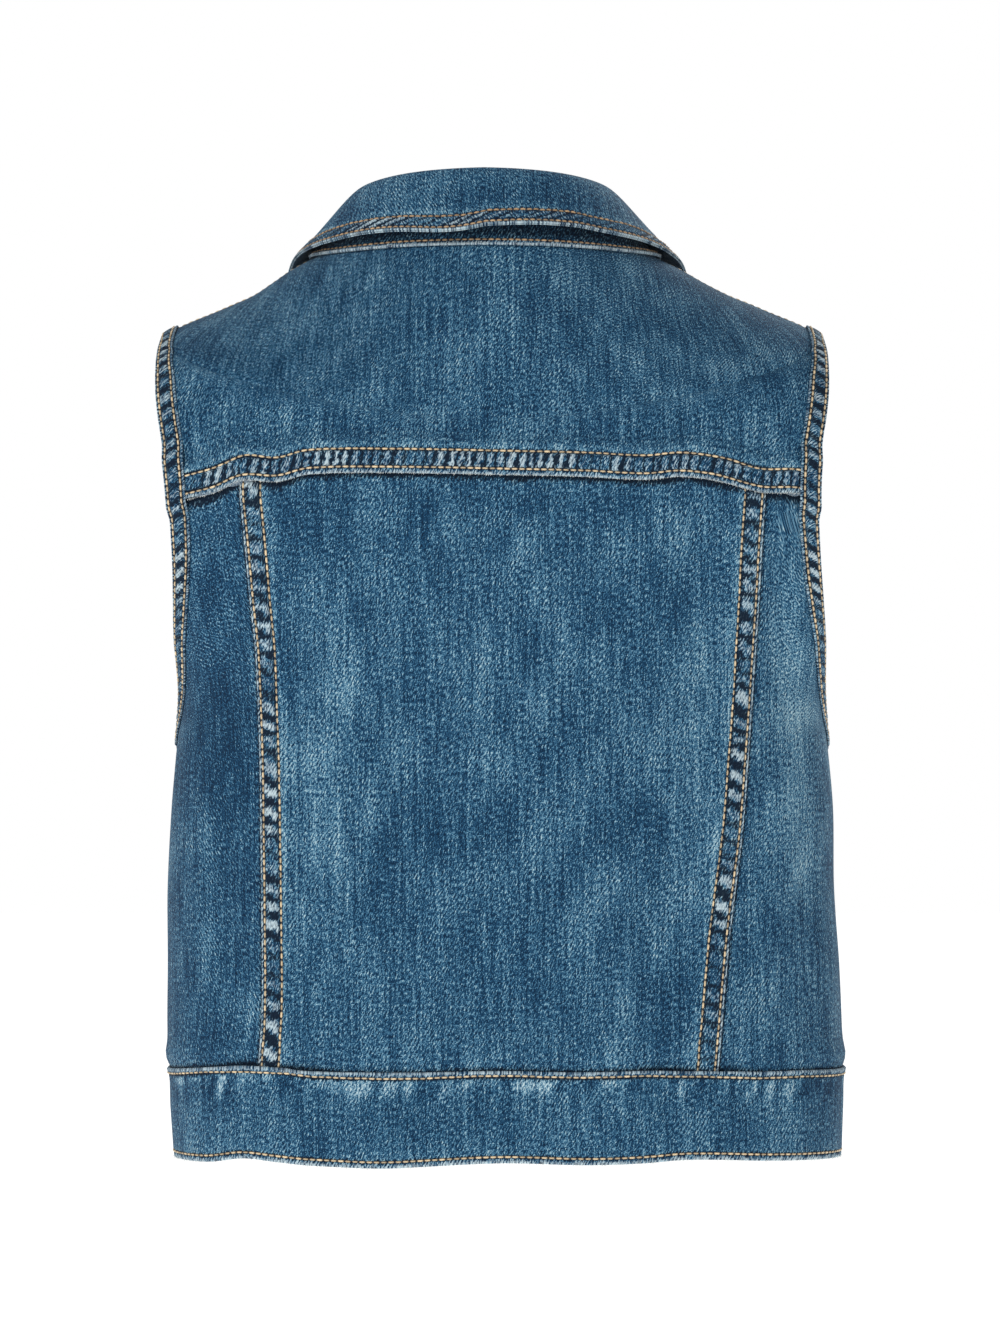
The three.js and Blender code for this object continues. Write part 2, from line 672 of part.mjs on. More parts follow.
function fallSection({ roll, standTop, edge, inward }) {
  const over = roll.clone().addScaledVector(inward, -ROLL_REACH);
  const under = roll.clone().lerp(edge, BEND.part).addScaledVector(inward, BEND.inward);
  const curve = new THREE.CubicBezierCurve3(roll, over, under, edge);
  const start = standTop.clone();
  start.z += SEAM_GAP;
  const turnOver = roll.clone().addScaledVector(inward, TURN_OVER.inward);
  turnOver.z -= TURN_OVER.down;
  return [start, turnOver, ...FALL_PARTS.map((part) => curve.getPoint(part))];
}

function collarFall() {
  const sections = collarTurns.map((turn) => fallSection(collarStation(turn)));
  const grid = sections[0].map((_, row) => sections.map((points) => points[row]));
  return wallMesh('collar_fall', thickened(grid, -COLLAR_CLOTH), grid, DENIM);
}

// Plain shank buttons, each a shallow dome with a flat centre, seated on the cloth below.
// A row of the section is a share of the radius and a share of the height.
const BUTTON_METALNESS = 0.8;
const buttonSection = [
  [0, 0],
  [0.72, 0],
  [0.8, 0.45],
  [1, 0.55],
  [0.94, 0.85],
  [0.6, 1],
  [0, 1],
].map(([radius, height]) => new THREE.Vector2(radius * BUTTON_RADIUS, height * BUTTON_HEIGHT));

function button(index, height, lift) {
  const geometry = new THREE.LatheGeometry(buttonSection, BUTTON_SIDES);
  const mesh = namedMesh(`button_${index}`, geometry, SHANK_METAL, BUTTON_METALNESS);
  mesh.position.copy(place(90, height, lift));
  mesh.quaternion.setFromUnitVectors(new THREE.Vector3(0, 1, 0), outward(foldedBody, 90, height));
  return mesh;
}

const placketFace = LAP_LIFT + 2 * PLACKET_CLOTH + 2 * SEAM_GAP;
const waistbandFace = WAISTBAND_LIFT + CLOSURE_LIFT + WAISTBAND_CLOTH + SEAM_GAP;
const buttonSeats = [
  ...BUTTON_LEVELS.map((level) => ({ height: frontHeight(level), lift: placketFace })),
  { height: WAISTBAND_BUTTON_LEVEL, lift: waistbandFace },
];

const vest = new THREE.Group();
vest.add(
  backYoke(),
  backCentre(),
  backSide('left'),
  backSide('right'),
  panelMesh('front_right', frontPlaces('right')),
  panelMesh('front_left', mirroredPlaces(frontPlaces('left'))),
  placket('left'),
  placket('right'),
  waistband(),
  collarStand(),
  collarFall(),
  armholeBand('left'),
  armholeBand('right'),
  ...buttonSeats.map(({ height, lift }, i) => button(i + 1, height, lift)),
);

export default vest;
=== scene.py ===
# %% [markdown]
# # A denim vest, made in Blender around a measured frame
# The CAD model holds the garment's pieces at their real size: a yoke, five panels, button bands,
# a waistband, a collar in two parts and the armhole bands. The frame is loaded first and stays
# where it is. Every piece below is a thin shell on the form of its own CAD node.

# %% Load the frame
import math
from functools import partial
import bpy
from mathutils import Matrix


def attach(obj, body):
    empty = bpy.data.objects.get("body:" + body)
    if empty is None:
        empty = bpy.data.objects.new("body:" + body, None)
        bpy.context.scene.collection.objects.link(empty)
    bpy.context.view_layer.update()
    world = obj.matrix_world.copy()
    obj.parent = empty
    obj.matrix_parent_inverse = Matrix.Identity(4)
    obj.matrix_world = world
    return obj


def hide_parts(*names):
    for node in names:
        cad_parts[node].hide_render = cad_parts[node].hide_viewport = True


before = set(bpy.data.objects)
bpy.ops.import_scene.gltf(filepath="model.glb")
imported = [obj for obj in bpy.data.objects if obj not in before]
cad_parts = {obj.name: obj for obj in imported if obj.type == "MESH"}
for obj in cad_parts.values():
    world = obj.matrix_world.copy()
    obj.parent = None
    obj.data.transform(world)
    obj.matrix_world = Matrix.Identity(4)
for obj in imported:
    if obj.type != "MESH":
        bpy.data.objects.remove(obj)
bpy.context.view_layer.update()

from types import SimpleNamespace

import bpy
import numpy as np

MM = 0.001
print("CAD nodes:", len(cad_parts))

# %% [markdown]
# ## The camera
# The photograph is level and shows the back. A telephoto lens keeps it almost free of
# perspective, so a distance on the picture is a distance on the vest: the frame is 684 mm tall
# at the garment. The lens is far back for that reason, and it isn't shifted.

# %% Camera at the photograph's angle, in metres
FRAME_HEIGHT = 0.6841
CAMERA_HEIGHT = -0.2062
CAMERA_FOCUS = -0.035
LENS = 200.0
SENSOR = 36.0


def new_object(name, data):
    obj = bpy.data.objects.new(name, data)
    bpy.context.collection.objects.link(obj)
    return obj


camera_data = bpy.data.cameras.new("camera")
camera_data.lens = LENS
camera_data.sensor_width = SENSOR
camera = new_object("camera", camera_data)
camera_distance = FRAME_HEIGHT * LENS / SENSOR
camera.location = (0, CAMERA_FOCUS - camera_distance, CAMERA_HEIGHT)
camera.rotation_euler = (math.radians(90), 0, 0)
camera_data.clip_end = 100
bpy.context.scene.camera = camera
print("Camera stands", round(camera_distance, 2), "m behind the vest")

# %% [markdown]
# ## The form of the garment
# A worn vest could be sculpted, or draped by simulation over a figure. Here its form is known in
# sizes, so it is written as rings round the body: each row of the table is one ring, and a smooth
# curve runs through the rows. A place on the garment is a pair, the angle round the body (-90 at
# the centre back, 0 at the right side, 90 at the centre front) and the height of its ring at the
# side, in millimetres. A lift moves a place out along the cloth's normal, which is how layers lie
# on each other without meeting.

# %% Smooth tables
def hermite(keys, values, key):
    before = np.maximum(np.arange(len(keys)) - 1, 0)
    after = np.minimum(np.arange(len(keys)) + 1, len(keys) - 1)
    slopes = (values[after] - values[before]) / (keys[after] - keys[before])
    held = np.clip(key, keys[0], keys[-1])
    i = np.clip(np.searchsorted(keys, held) - 1, 0, len(keys) - 2)
    span = keys[i + 1] - keys[i]
    t = (held - keys[i]) / span
    rest = 1 - t
    ends = values[i] * (1 + 2 * t) * rest**2 + values[i + 1] * t**2 * (3 - 2 * t)
    return ends + span * (slopes[i] * t * rest**2 - slopes[i + 1] * t**2 * rest)


def curve_table(names, rows):
    """One smooth curve for each named column, read by the value in the first column"""
    keys, *columns = np.array(rows, float).T
    curves = {name: partial(hermite, keys, column) for name, column in zip(names[1:], columns)}
    return SimpleNamespace(**curves)


def mix(a, b, part):
    return a + (b - a) * part


def smooth(value, low, high):
    t = np.clip((value - low) / (high - low), 0, 1)
    return t * t * (3 - 2 * t)


# %% Rings of the body, in millimetres
body = curve_table(
    ["height", "middle", "half", "back", "front", "drop_back", "drop_front", "square"],
    [
        [-460, 4.0, 167.6, 83, 86, 0, 0, 2.5],
        [-432, 3.5, 169.2, 84, 87, 0, 0, 2.5],
        [-412, 3.4, 170.0, 84, 88, 0, 0, 2.5],
        [-404, 3.0, 173.2, 87, 90, 0, 0, 2.5],
        [-392, 2.4, 173.4, 88, 92, 0, 0, 2.5],
        [-360, 1.8, 172.6, 88, 94, 0, 0, 2.5],
        [-320, 0.4, 171.2, 89, 97, 0, 0, 2.5],
        [-280, 1.2, 169.8, 90, 100, 0, 0, 2.5],
        [-254, 1.3, 167.3, 91, 102, 0, 0, 2.5],
        [-220, 1.0, 163.2, 92, 103, 0, 2, 2.5],
        [-190, -0.5, 164.2, 93, 104, 1, 10, 2.5],
        [-150, -2.0, 163.6, 95, 104, 5, 30, 2.5],
        [-110, -3.5, 164.4, 96, 103, 14, 54, 2.5],
        [-80, -4.0, 166.8, 96, 102, 25, 74, 2.5],
        [-56, -4.0, 170.2, 95, 100, 36, 89, 2.6],
        [-44, -4.0, 170.8, 94, 99.5, 41.5, 96.5, 2.85],
        [-37, -4.0, 169.6, 93, 99, 44.8, 100.5, 3.2],
        [-33, -4.0, 164.6, 92, 98.6, 45, 101, 3.2],
        [-29, -4.0, 156.4, 91, 98, 44, 101, 3.05],
        [-24, -4.0, 144.0, 90, 97, 42, 100, 2.85],
        [-19.5, -4.0, 133.4, 88, 95.5, 38.5, 99, 2.65],
        [-14.9, -4.5, 122.4, 86, 94, 34, 97, 2.45],
        [-8.7, -6.0, 111.4, 82, 91, 25.3, 93.3, 2.25],
        [-2, -7.0, 100.6, 74, 87, 12, 87, 2.1],
        [6, -8.0, 85.0, 62, 80, -6, 81, 2.0],
    ],
)

# %% Edges across the back, by the distance from the centre
across = curve_table(
    ["x", "yoke_edge", "waist_edge", "hem_edge"],
    [
        [-172, -124.0, -411.8, -457.5],
        [-147, -118.0, -409.4, -458.0],
        [-129, -111.4, -408.0, -455.4],
        [-112, -112.2, -408.4, -456.8],
        [-96, -108.6, -410.4, -458.2],
        [-56, -108.0, -411.8, -459.0],
        [0, -109.0, -409.7, -456.4],
        [44, -110.0, -410.8, -457.4],
        [73, -111.3, -410.2, -456.4],
        [91, -109.8, -410.6, -455.2],
        [110, -112.0, -411.2, -455.4],
        [131, -117.4, -412.0, -456.4],
        [150, -117.8, -412.0, -457.0],
        [172, -124.0, -411.8, -457.5],
    ],
)
panel_seam = curve_table(
    ["height", "left", "right"],
    [
        [-411, 122.0, 110.0],
        [-380, 120.0, 112.6],
        [-340, 120.0, 116.2],
        [-290, 120.5, 122.3],
        [-250, 121.0, 125.2],
        [-200, 123.0, 128.5],
        [-170, 126.0, 130.5],
        [-140, 128.5, 132.0],
        [-110, 131.0, 133.8],
    ],
)

# %% [markdown]
# The large folds are soft hills and troughs, each listed with its own length and width.
# The creases after them are smaller: whiskers under the waistband's top row, drag lines at the
# armholes, and the slack of the yoke. The hidden front gets similar ones.

# %% Folds and creases: rise is outward, turn is in degrees from upright
FOLDS = [
    ["back", 156, -188, -4, 48, 9, 2.6],
    ["back", 143, -170, -3, 60, 9, -1.8],
    ["back", 146, -265, -2, 70, 16, 2.0],
    ["back", -84, -245, 3, 95, 20, 1.6],
    ["back", -52, -300, -2, 110, 24, -1.6],
    ["back", 34, -255, 2, 120, 34, 1.4],
    ["back", 86, -330, 7, 70, 20, -1.6],
    ["back", -155, -205, 5, 60, 10, 2.0],
    ["back", -146, -132, 24, 20, 7, -2.0],
    ["back", -124, -436, 68, 17, 5, -1.5],
    ["back", -60, -445, 12, 20, 16, 1.2],
    ["back", 70, -446, -8, 22, 18, 1.2],
    ["back", 112, -44, 58, 45, 15, -1.5],
    ["back", -118, -48, -58, 45, 15, -1.5],
    ["front", 92, -196, 12, 80, 20, 2.0],
    ["front", -96, -188, -10, 84, 20, 2.0],
    ["front", 128, -215, 38, 42, 10, -2.0],
    ["front", -130, -212, -36, 42, 10, -2.0],
    ["front", 60, -330, 4, 90, 22, -1.8],
    ["front", -64, -322, -5, 90, 22, -1.8],
    ["front", 120, -345, -3, 60, 18, 1.8],
    ["front", -118, -350, 3, 60, 18, 1.8],
    ["front", -104, -440, -66, 17, 5, -1.5],
]
CREASES = [
    ["back", -133, -428, 62, 13, 2.6, 0.8],
    ["back", -109, -441, 66, 12, 2.8, 0.7],
    ["back", -92, -424, -18, 10, 3.4, -0.7],
    ["back", -70, -426, 14, 12, 4.0, 0.6],
    ["back", -38, -424, -10, 11, 4.2, -0.6],
    ["back", -14, -427, 12, 13, 4.4, 0.6],
    ["back", 22, -424, -12, 11, 3.8, -0.6],
    ["back", 48, -427, 10, 12, 4.2, 0.6],
    ["back", 84, -425, 18, 11, 3.6, -0.7],
    ["back", 104, -429, -16, 12, 3.6, 0.7],
    ["back", 128, -426, 12, 11, 3.4, -0.6],
    ["back", 150, -432, 6, 13, 4.2, 0.7],
    ["back", -112, -398, -28, 10, 3.4, -0.7],
    ["back", -96, -394, 22, 12, 4.0, 0.6],
    ["back", 98, -396, -24, 12, 4.0, -0.6],
    ["back", 146, -396, 16, 12, 5.0, 0.7],
    ["back", -150, -300, 4, 55, 7, 0.9],
    ["back", -138, -350, -6, 46, 7, -0.8],
    ["back", 136, -352, 5, 60, 8, 0.9],
    ["back", 154, -318, -4, 64, 6, -0.8],
    ["back", -22, -150, 6, 40, 10, 0.5],
    ["back", 58, -170, -4, 52, 12, -0.5],
    ["back", -100, -146, 5, 38, 8, 0.6],
    ["back", 100, -150, -5, 38, 8, -0.6],
    ["back", -138, -98, -62, 24, 5, 0.7],
    ["back", 134, -96, 60, 24, 5, 0.7],
    ["back", -60, -60, -12, 34, 10, 0.5],
    ["back", 66, -66, 14, 34, 10, 0.5],
    ["back", 6, -40, 0, 30, 22, 0.5],
    ["back", -173, -409, 90, 16, 6, 1.7],
    ["front", -173, -409, 90, 16, 6, 1.7],
    ["back", 173, -409, 90, 16, 6, 1.2],
    ["front", 173, -409, 90, 16, 6, 1.2],
    ["front", 104, -428, -14, 12, 3.8, 0.7],
    ["front", 70, -424, 12, 11, 3.6, -0.6],
    ["front", 38, -428, -10, 12, 4.0, 0.6],
    ["front", -40, -426, 10, 12, 4.0, -0.6],
    ["front", -76, -427, -14, 12, 3.8, 0.7],
    ["front", 136, -262, 30, 30, 6, 0.9],
    ["front", -138, -262, -28, 30, 6, 0.9],
    ["front", 84, -270, 8, 50, 9, 0.7],
    ["front", -90, -280, -8, 50, 9, 0.7],
    ["front", 70, -110, 28, 34, 8, -0.7],
    ["front", -72, -112, -26, 34, 8, -0.7],
]


def spots(table, point, angle):
    total = np.zeros(point.shape[:-1])
    behind = np.sin(np.radians(angle)) < 0
    for side, x, z, turn, long, wide, amount in table:
        here = behind if side == "back" else ~behind
        lean = math.radians(turn)
        dx = point[..., 0] - x
        dz = point[..., 2] - z
        lengthwise = (dz * math.cos(lean) + dx * math.sin(lean)) / long
        sideways = (dx * math.cos(lean) - dz * math.sin(lean)) / wide
        total += np.where(here, amount * np.exp(-(lengthwise**2) - sideways**2), 0)
    return total


# %% The armhole, an oval in angle and height
SHOULDER_TIP = -36
UNDERARM = -240
NECK = 6
SHOULDER_SEAM_ANGLE = 7
SIDE_SEAM_ANGLE = 10
ARMHOLE_MIDDLE = (SHOULDER_TIP + UNDERARM) / 2
ARMHOLE_RISE = (SHOULDER_TIP - UNDERARM) / 2
ARMHOLE_SPREAD_LOW = 40
ARMHOLE_SPREAD_HIGH = 62
ARMHOLE_FRONT_NARROWER = 17
ARMHOLE_SHOULDER_POWER = 0.5
SHOULDER_SLOPE_RISE = 0.45
DEGREES_PER_MM = 1 / 3
SIDES = ("left", "right")


def armhole_place(turn, inward=0.0):
    up = np.cos(np.radians(turn))
    back = np.sin(np.radians(turn))
    rise = ARMHOLE_RISE + inward * np.where(up > 0, SHOULDER_SLOPE_RISE, 1)
    middle = mix(SIDE_SEAM_ANGLE, SHOULDER_SEAM_ANGLE, (up + 1) / 2)
    spread = mix(ARMHOLE_SPREAD_LOW, ARMHOLE_SPREAD_HIGH, smooth(up, -1, 1))
    spread = spread - np.where(back > 0, 0, ARMHOLE_FRONT_NARROWER)
    power = mix(1, ARMHOLE_SHOULDER_POWER, smooth(up, -0.5, 0.5))
    reached = np.sign(back) * np.abs(back) ** power
    return middle - (spread + inward * DEGREES_PER_MM) * reached, ARMHOLE_MIDDLE + rise * up


def armhole_turn(height):
    return np.degrees(np.arccos(np.clip((height - ARMHOLE_MIDDLE) / ARMHOLE_RISE, -1, 1)))


def armhole_edge(height, face):
    turn = armhole_turn(height)
    oval = armhole_place(turn if face == "back" else 360 - turn)[0]
    seam = np.where(height >= SHOULDER_TIP, SHOULDER_SEAM_ANGLE, SIDE_SEAM_ANGLE)
    inside = (height > UNDERARM) & (height < SHOULDER_TIP)
    return np.where(inside, oval, seam)


# %% Places on the garment
def reach(angle, square):
    sides = np.abs(np.cos(np.radians(angle))) ** square
    ends = np.abs(np.sin(np.radians(angle))) ** square
    return (sides + ends) ** (-1 / square)


def plain_body(angle, height):
    angle, height = np.broadcast_arrays(np.asarray(angle, float), np.asarray(height, float))
    square = body.square(height)
    back_edge = np.minimum(armhole_edge(height, "back"), 0)
    half = body.half(height) / (reach(back_edge, square) * np.cos(np.radians(back_edge)))
    length = reach(angle, square)
    along = np.sin(np.radians(angle))
    depth = np.where(along < 0, body.back(height), body.front(height))
    drop = np.where(along < 0, body.drop_back(height), body.drop_front(height))
    x = body.middle(height) + half * length * np.cos(np.radians(angle))
    return np.stack([x, depth * length * along, height - drop * along**2], -1)


def unit(vectors):
    return vectors / np.maximum(np.linalg.norm(vectors, axis=-1, keepdims=True), 1e-9)


def outward(surface, angle, height):
    step = 0.5
    lower = np.minimum(height, NECK - step)
    turned = surface(angle + step, height) - surface(angle - step, height)
    up = surface(angle, lower + step) - surface(angle, lower - step)
    return unit(np.cross(turned, up))


def folded_body(angle, height):
    point = plain_body(angle, height)
    rise = spots(FOLDS, point, angle) + spots(CREASES, point, angle)
    return point + outward(plain_body, angle, height) * rise[..., None]


def ground(angle, height):
    angle, height = np.broadcast_arrays(np.asarray(angle, float), np.asarray(height, float))
    return folded_body(angle, height), outward(folded_body, angle, height)


def place(angle, height, lift):
    point, normal = ground(angle, height)
    return point + normal * np.asarray(lift)[..., None]


# %% Places found from real distances
HALVINGS = 26
EDGE_TRIES = 6
YOKE_EDGE_START = -95
WAIST_LEVEL = -411.0
HEM_LEVEL = -457.0


def angle_at_x(x, height):
    x, height = np.broadcast_arrays(np.asarray(x, float), np.asarray(height, float))
    low = np.where(x < 0, -180.0, -90.0)
    high = np.where(x < 0, -90.0, 0.0)
    for _ in range(HALVINGS):
        half = (low + high) / 2
        short = plain_body(half, height)[..., 0] < x
        low = np.where(short, half, low)
        high = np.where(short, high, half)
    return (low + high) / 2


def front_angle_at_x(x, height):
    return -angle_at_x(x, height)


def move_round(angle, height, distance):
    step = plain_body(angle + 1, height) - plain_body(angle, height)
    return angle + distance / np.linalg.norm(step, axis=-1)


def height_of_edge(edge, angle, start):
    height = np.full(np.shape(angle), float(start))
    for _ in range(EDGE_TRIES):
        point = plain_body(angle, height)
        height = height + edge(point[..., 0]) - point[..., 2]
    return height


def yoke_height(angle, above=0.0):
    return height_of_edge(lambda x: across.yoke_edge(x) + above, angle, YOKE_EDGE_START)


def waist_height(angle):
    return across.waist_edge(plain_body(angle, WAIST_LEVEL)[..., 0])


def hem_height(angle):
    return across.hem_edge(plain_body(angle, HEM_LEVEL)[..., 0])


def mirrored(angle):
    return -180 - angle


def own_side(side, angle):
    """An angle worked out for the right side, on the side where it belongs"""
    return angle if side == "right" else mirrored(angle)


print("Back centre of the yoke edge:", np.round(place(-90, yoke_height(np.array(-90.0)), 0), 1))

# %% [markdown]
# ## Seam relief and wear
# A jeans seam is four or more layers of cloth between two rows of stitches. Washing shrinks the
# thread and the cloth differently, so the strip between the rows ropes into slanting bumps: the
# bumps rub pale and the hollows stay dark indigo. One function works out the relief and the wear
# together from the distance to the folded edge, so that the pale patches sit on the real bumps.
# The wear could be painted, but a rule repeats evenly on every seam and needs no image.

# %% Uneven waves, and the marks of a double-stitched seam, in millimetres
EDGE_STITCH = 1.7
GAUGE = 8.8
GROOVE_DEPTH = 0.36
GROOVE_WIDTH = 0.65
GROOVE_SHADE_WIDTH = 1.2
BUMP_MIDDLE = 0.32
BUMP_RISE = 0.36
RIPPLE_RISE = 0.28
RIPPLE_REACH = 5
HALO_DISTANCE = 2.2
HALO_WIDTH = 2.0
LEVELS = 512


def wobble(position, seed):
    """A smooth curve through random levels from -1 to 1, one at each whole number"""
    levels = np.random.default_rng(seed).uniform(-1, 1, LEVELS)
    cell = np.floor(position).astype(int)
    part = smooth(position - cell, 0, 1)
    return mix(levels[cell % LEVELS], levels[(cell + 1) % LEVELS], part)


def marks_like(shape):
    return SimpleNamespace(**{key: np.zeros(shape) for key in ("relief", "fade", "wear", "deep")})


def add_marks(total, marks):
    total.relief = total.relief + marks.relief
    total.fade = total.fade + marks.fade
    total.wear = np.maximum(total.wear, marks.wear)
    total.deep = np.maximum(total.deep, marks.deep)


def seam_marks(gap, along, rows, pitch, slant, seed, edge_wear=1.0, past_rows=0.75):
    """gap is the distance in from the folded edge, along the distance along it, in millimetres"""
    marks = marks_like(gap.shape)
    ragged = 0.7 + 0.3 * wobble(along / 0.9, seed)
    marks.wear = edge_wear * np.exp(-((gap / (0.6 * rows[0])) ** 2)) * ragged
    for row in rows:
        marks.relief = marks.relief - GROOVE_DEPTH * np.exp(-(((gap - row) / GROOVE_WIDTH) ** 2))
        # Painted shade in the groove along each stitch row
        marks.deep = np.maximum(marks.deep, np.exp(-(((gap - row) / GROOVE_SHADE_WIDTH) ** 2)))
    if len(rows) == 2:
        past_first = smooth(gap, rows[0] + 0.2, rows[0] + 1.2)
        inside = past_first * (1 - smooth(gap, rows[1] - 1.2, rows[1] - 0.2))
        uneven = 0.32 * wobble(along / (1.7 * pitch), seed + 1)
        position = along / pitch + slant * gap / pitch + uneven
        size = 0.62 + 0.38 * wobble(along / pitch * 0.6, seed + 2)
        block = np.clip(2.4 * np.sin(2 * math.pi * position) + 0.3, -1, 1) * size
        pale = np.maximum(block, 0)
        marks.relief = marks.relief + inside * (BUMP_MIDDLE + BUMP_RISE * block)
        marks.wear = np.maximum(marks.wear, inside * pale)
        marks.deep = np.maximum(marks.deep, inside * np.clip(0.3 - 1.3 * block, 0, 1))
    beyond = gap - rows[-1]
    strokes = 0.55 + 0.45 * wobble(along / 1.1, seed + 3)
    halo = np.exp(-(((beyond - HALO_DISTANCE) / HALO_WIDTH) ** 2))
    marks.fade = 2.2 * past_rows * strokes * halo
    fading = np.exp(-np.maximum(beyond, 0) / RIPPLE_REACH) * (beyond > 0)
    marks.relief = marks.relief + RIPPLE_RISE * fading * wobble(along / (0.8 * pitch), seed + 4)
    return marks


def shade_below(total, gap, strength=0.6, width=2.6):
    """Painted shadow over dark unfaded cloth, just outside the edge of a layer that lies on it"""
    total.deep = np.maximum(total.deep, strength * np.exp(-((np.maximum(gap, 0) / width) ** 2)))


# %% Fades left by wear and washing, and darker patches: amount is how much paler the cloth is there, darker below zero
FADES = [
    ["back", -82, -250, 1, 84, 17, 0.66],
    ["back", -98, -300, 0, 60, 9, 0.45],
    ["back", 149, -250, 2, 84, 14, 1.6],
    ["back", 103, -236, 5, 82, 13, 1.1],
    ["back", 20, -205, 3, 70, 40, 0.22],
    ["back", -30, -330, 0, 70, 22, -0.16],
    ["back", 52, -330, -2, 90, 14, 0.2],
    ["back", -142, -240, 0, 90, 15, -1.2],
    ["back", -150, -392, 86, 24, 9, -0.45],
    ["back", 96, -392, 82, 26, 10, -0.5],
    ["back", 142, -388, 88, 28, 8, 0.3],
    ["back", -8, -124, 90, 118, 7, -0.35],
    ["back", 0, -30, 90, 60, 14, 0.12],
    ["back", -90, -60, 70, 50, 14, -0.2],
    ["back", 76, -86, 84, 60, 10, 0.16],
    ["back", -150, -440, 90, 30, 14, 0.4],
    ["back", -104, -430, 84, 30, 9, 0.3],
    ["back", 60, -436, 90, 60, 12, 0.12],
    ["back", 150, -436, 90, 24, 16, 0.28],
    ["front", 96, -250, -2, 90, 16, 0.8],
    ["front", -96, -250, 2, 90, 16, 0.8],
    ["front", 130, -300, 0, 70, 12, 0.4],
    ["front", -130, -300, 0, 70, 12, 0.4],
    ["front", 60, -120, 10, 40, 24, 0.25],
    ["front", -60, -120, -10, 40, 24, 0.25],
    ["front", 0, -436, 90, 120, 14, 0.2],
]

# %% [markdown]
# ## From a grid to a sheet of cloth
# Each piece is a grid of places. The outer face is moved out by the cloth's thickness and by the
# relief, the inner face stays on the form, and a rounded rim joins them, as a folded edge does.
# Solidify would give every rim a square edge. Three attributes go with the points: the wear,
# the deep dye with its painted shade, and the fade. The piece's own UV map is laid out in metres, with the
# warp running up.

# %% Shells
# A rim's point is a share of the way from the outer face to the inner one, and how far it stands
# out, as a share of the thickness. The double rim dips between its two leaves.
ROUND_RIM = [(0.1, 0.2), (0.5, 0.38), (0.9, 0.2)]
HALF_RIM = [(0.05, 0.28), (0.24, 0.42), (0.4, 0.22)]
DOUBLE_RIM = [*HALF_RIM, (0.5, -0.5), (0.6, 0.22), (0.76, 0.42), (0.95, 0.28)]
PIECE_SHIFT = 1.3
cloth_pieces = {}


def lengths(points, axis):
    steps = np.linalg.norm(np.diff(points, axis=axis), axis=-1)
    start = np.zeros_like(np.take(steps, [0], axis=axis))
    return np.concatenate([start, np.cumsum(steps, axis=axis)], axis=axis)


def rim_loops(rows, columns, closed):
    if closed:
        return [[(row, column) for column in range(columns)] for row in (0, rows - 1)]
    bottom = [(0, column) for column in range(columns)]
    right = [(row, columns - 1) for row in range(1, rows)]
    top = [(rows - 1, column) for column in range(columns - 2, -1, -1)]
    left = [(row, 0) for row in range(rows - 2, 0, -1)]
    return [bottom + right + top + left]


def grid_faces(rows, columns, closed):
    across_row = np.arange(columns if closed else columns - 1)
    row, column = np.meshgrid(np.arange(rows - 1), across_row, indexing="ij")
    low = row * columns
    high = low + columns
    after = (column + 1) % columns
    return np.stack([low + column, low + after, high + after, high + column], -1).reshape(-1, 4)


def shell(name, outer, inner, marks, fade, middle, rim=ROUND_RIM, closed=False):
    """outer and inner are grids of points in millimetres, and middle is the column where u is x"""
    rows, columns = outer.shape[:2]
    u = lengths(outer, 1)
    u = u - u[:, middle : middle + 1] + outer[:, middle : middle + 1, 0]
    v = lengths(outer, 0) + outer[0, middle, 2]
    count = rows * columns
    points = [outer.reshape(-1, 3), inner.reshape(-1, 3)]
    flat = {"u": u, "v": v, "wear": marks.wear, "deep": marks.deep, "fade": fade}
    # The inner face has the same fades and none of the seam's marks.
    inside = {"wear": 0, "deep": 0}
    flat = {key: grid.reshape(-1) for key, grid in flat.items()}
    values = {key: [grid, grid * inside.get(key, 1)] for key, grid in flat.items()}
    faces = [grid_faces(rows, columns, closed), grid_faces(rows, columns, closed)[:, ::-1] + count]
    kinds = [np.zeros(len(faces[0]), int), np.ones(len(faces[1]), int)]
    start = 2 * count
    for number, loop in enumerate(rim_loops(rows, columns, closed)):
        row, column = np.array(loop).T
        near = (np.clip(row, 1, rows - 2), column if closed else np.clip(column, 1, columns - 2))
        off = unit(outer[row, column] - outer[near])
        thickness = np.linalg.norm(outer[row, column] - inner[row, column], axis=-1)[:, None]
        rings = [row * columns + column]
        for part, out in rim:
            points.append(mix(outer[row, column], inner[row, column], part) + off * out * thickness)
            for key, grid in flat.items():
                values[key].append(grid[row * columns + column])
            # Painted shade in the dip between the double rim's two leaves
            if out < 0:
                values["deep"][-1] = np.ones(len(row))
            rings.append(start + np.arange(len(row)))
            start += len(row)
        rings.append(row * columns + column + count)
        forward = closed and number == 1
        for low, high in zip(rings[:-1], rings[1:]):
            ahead = np.roll(low, -1), np.roll(high, -1)
            quads = [high, ahead[1], ahead[0], low] if not forward else [low, ahead[0], ahead[1], high]
            faces.append(np.stack(quads, -1))
            kinds.append(np.zeros(len(low), int))
    cloth_object(
        name,
        np.concatenate(points),
        np.concatenate(faces),
        np.concatenate(kinds),
        {key: np.concatenate(parts) for key, parts in values.items()},
        columns if closed else 0,
    )


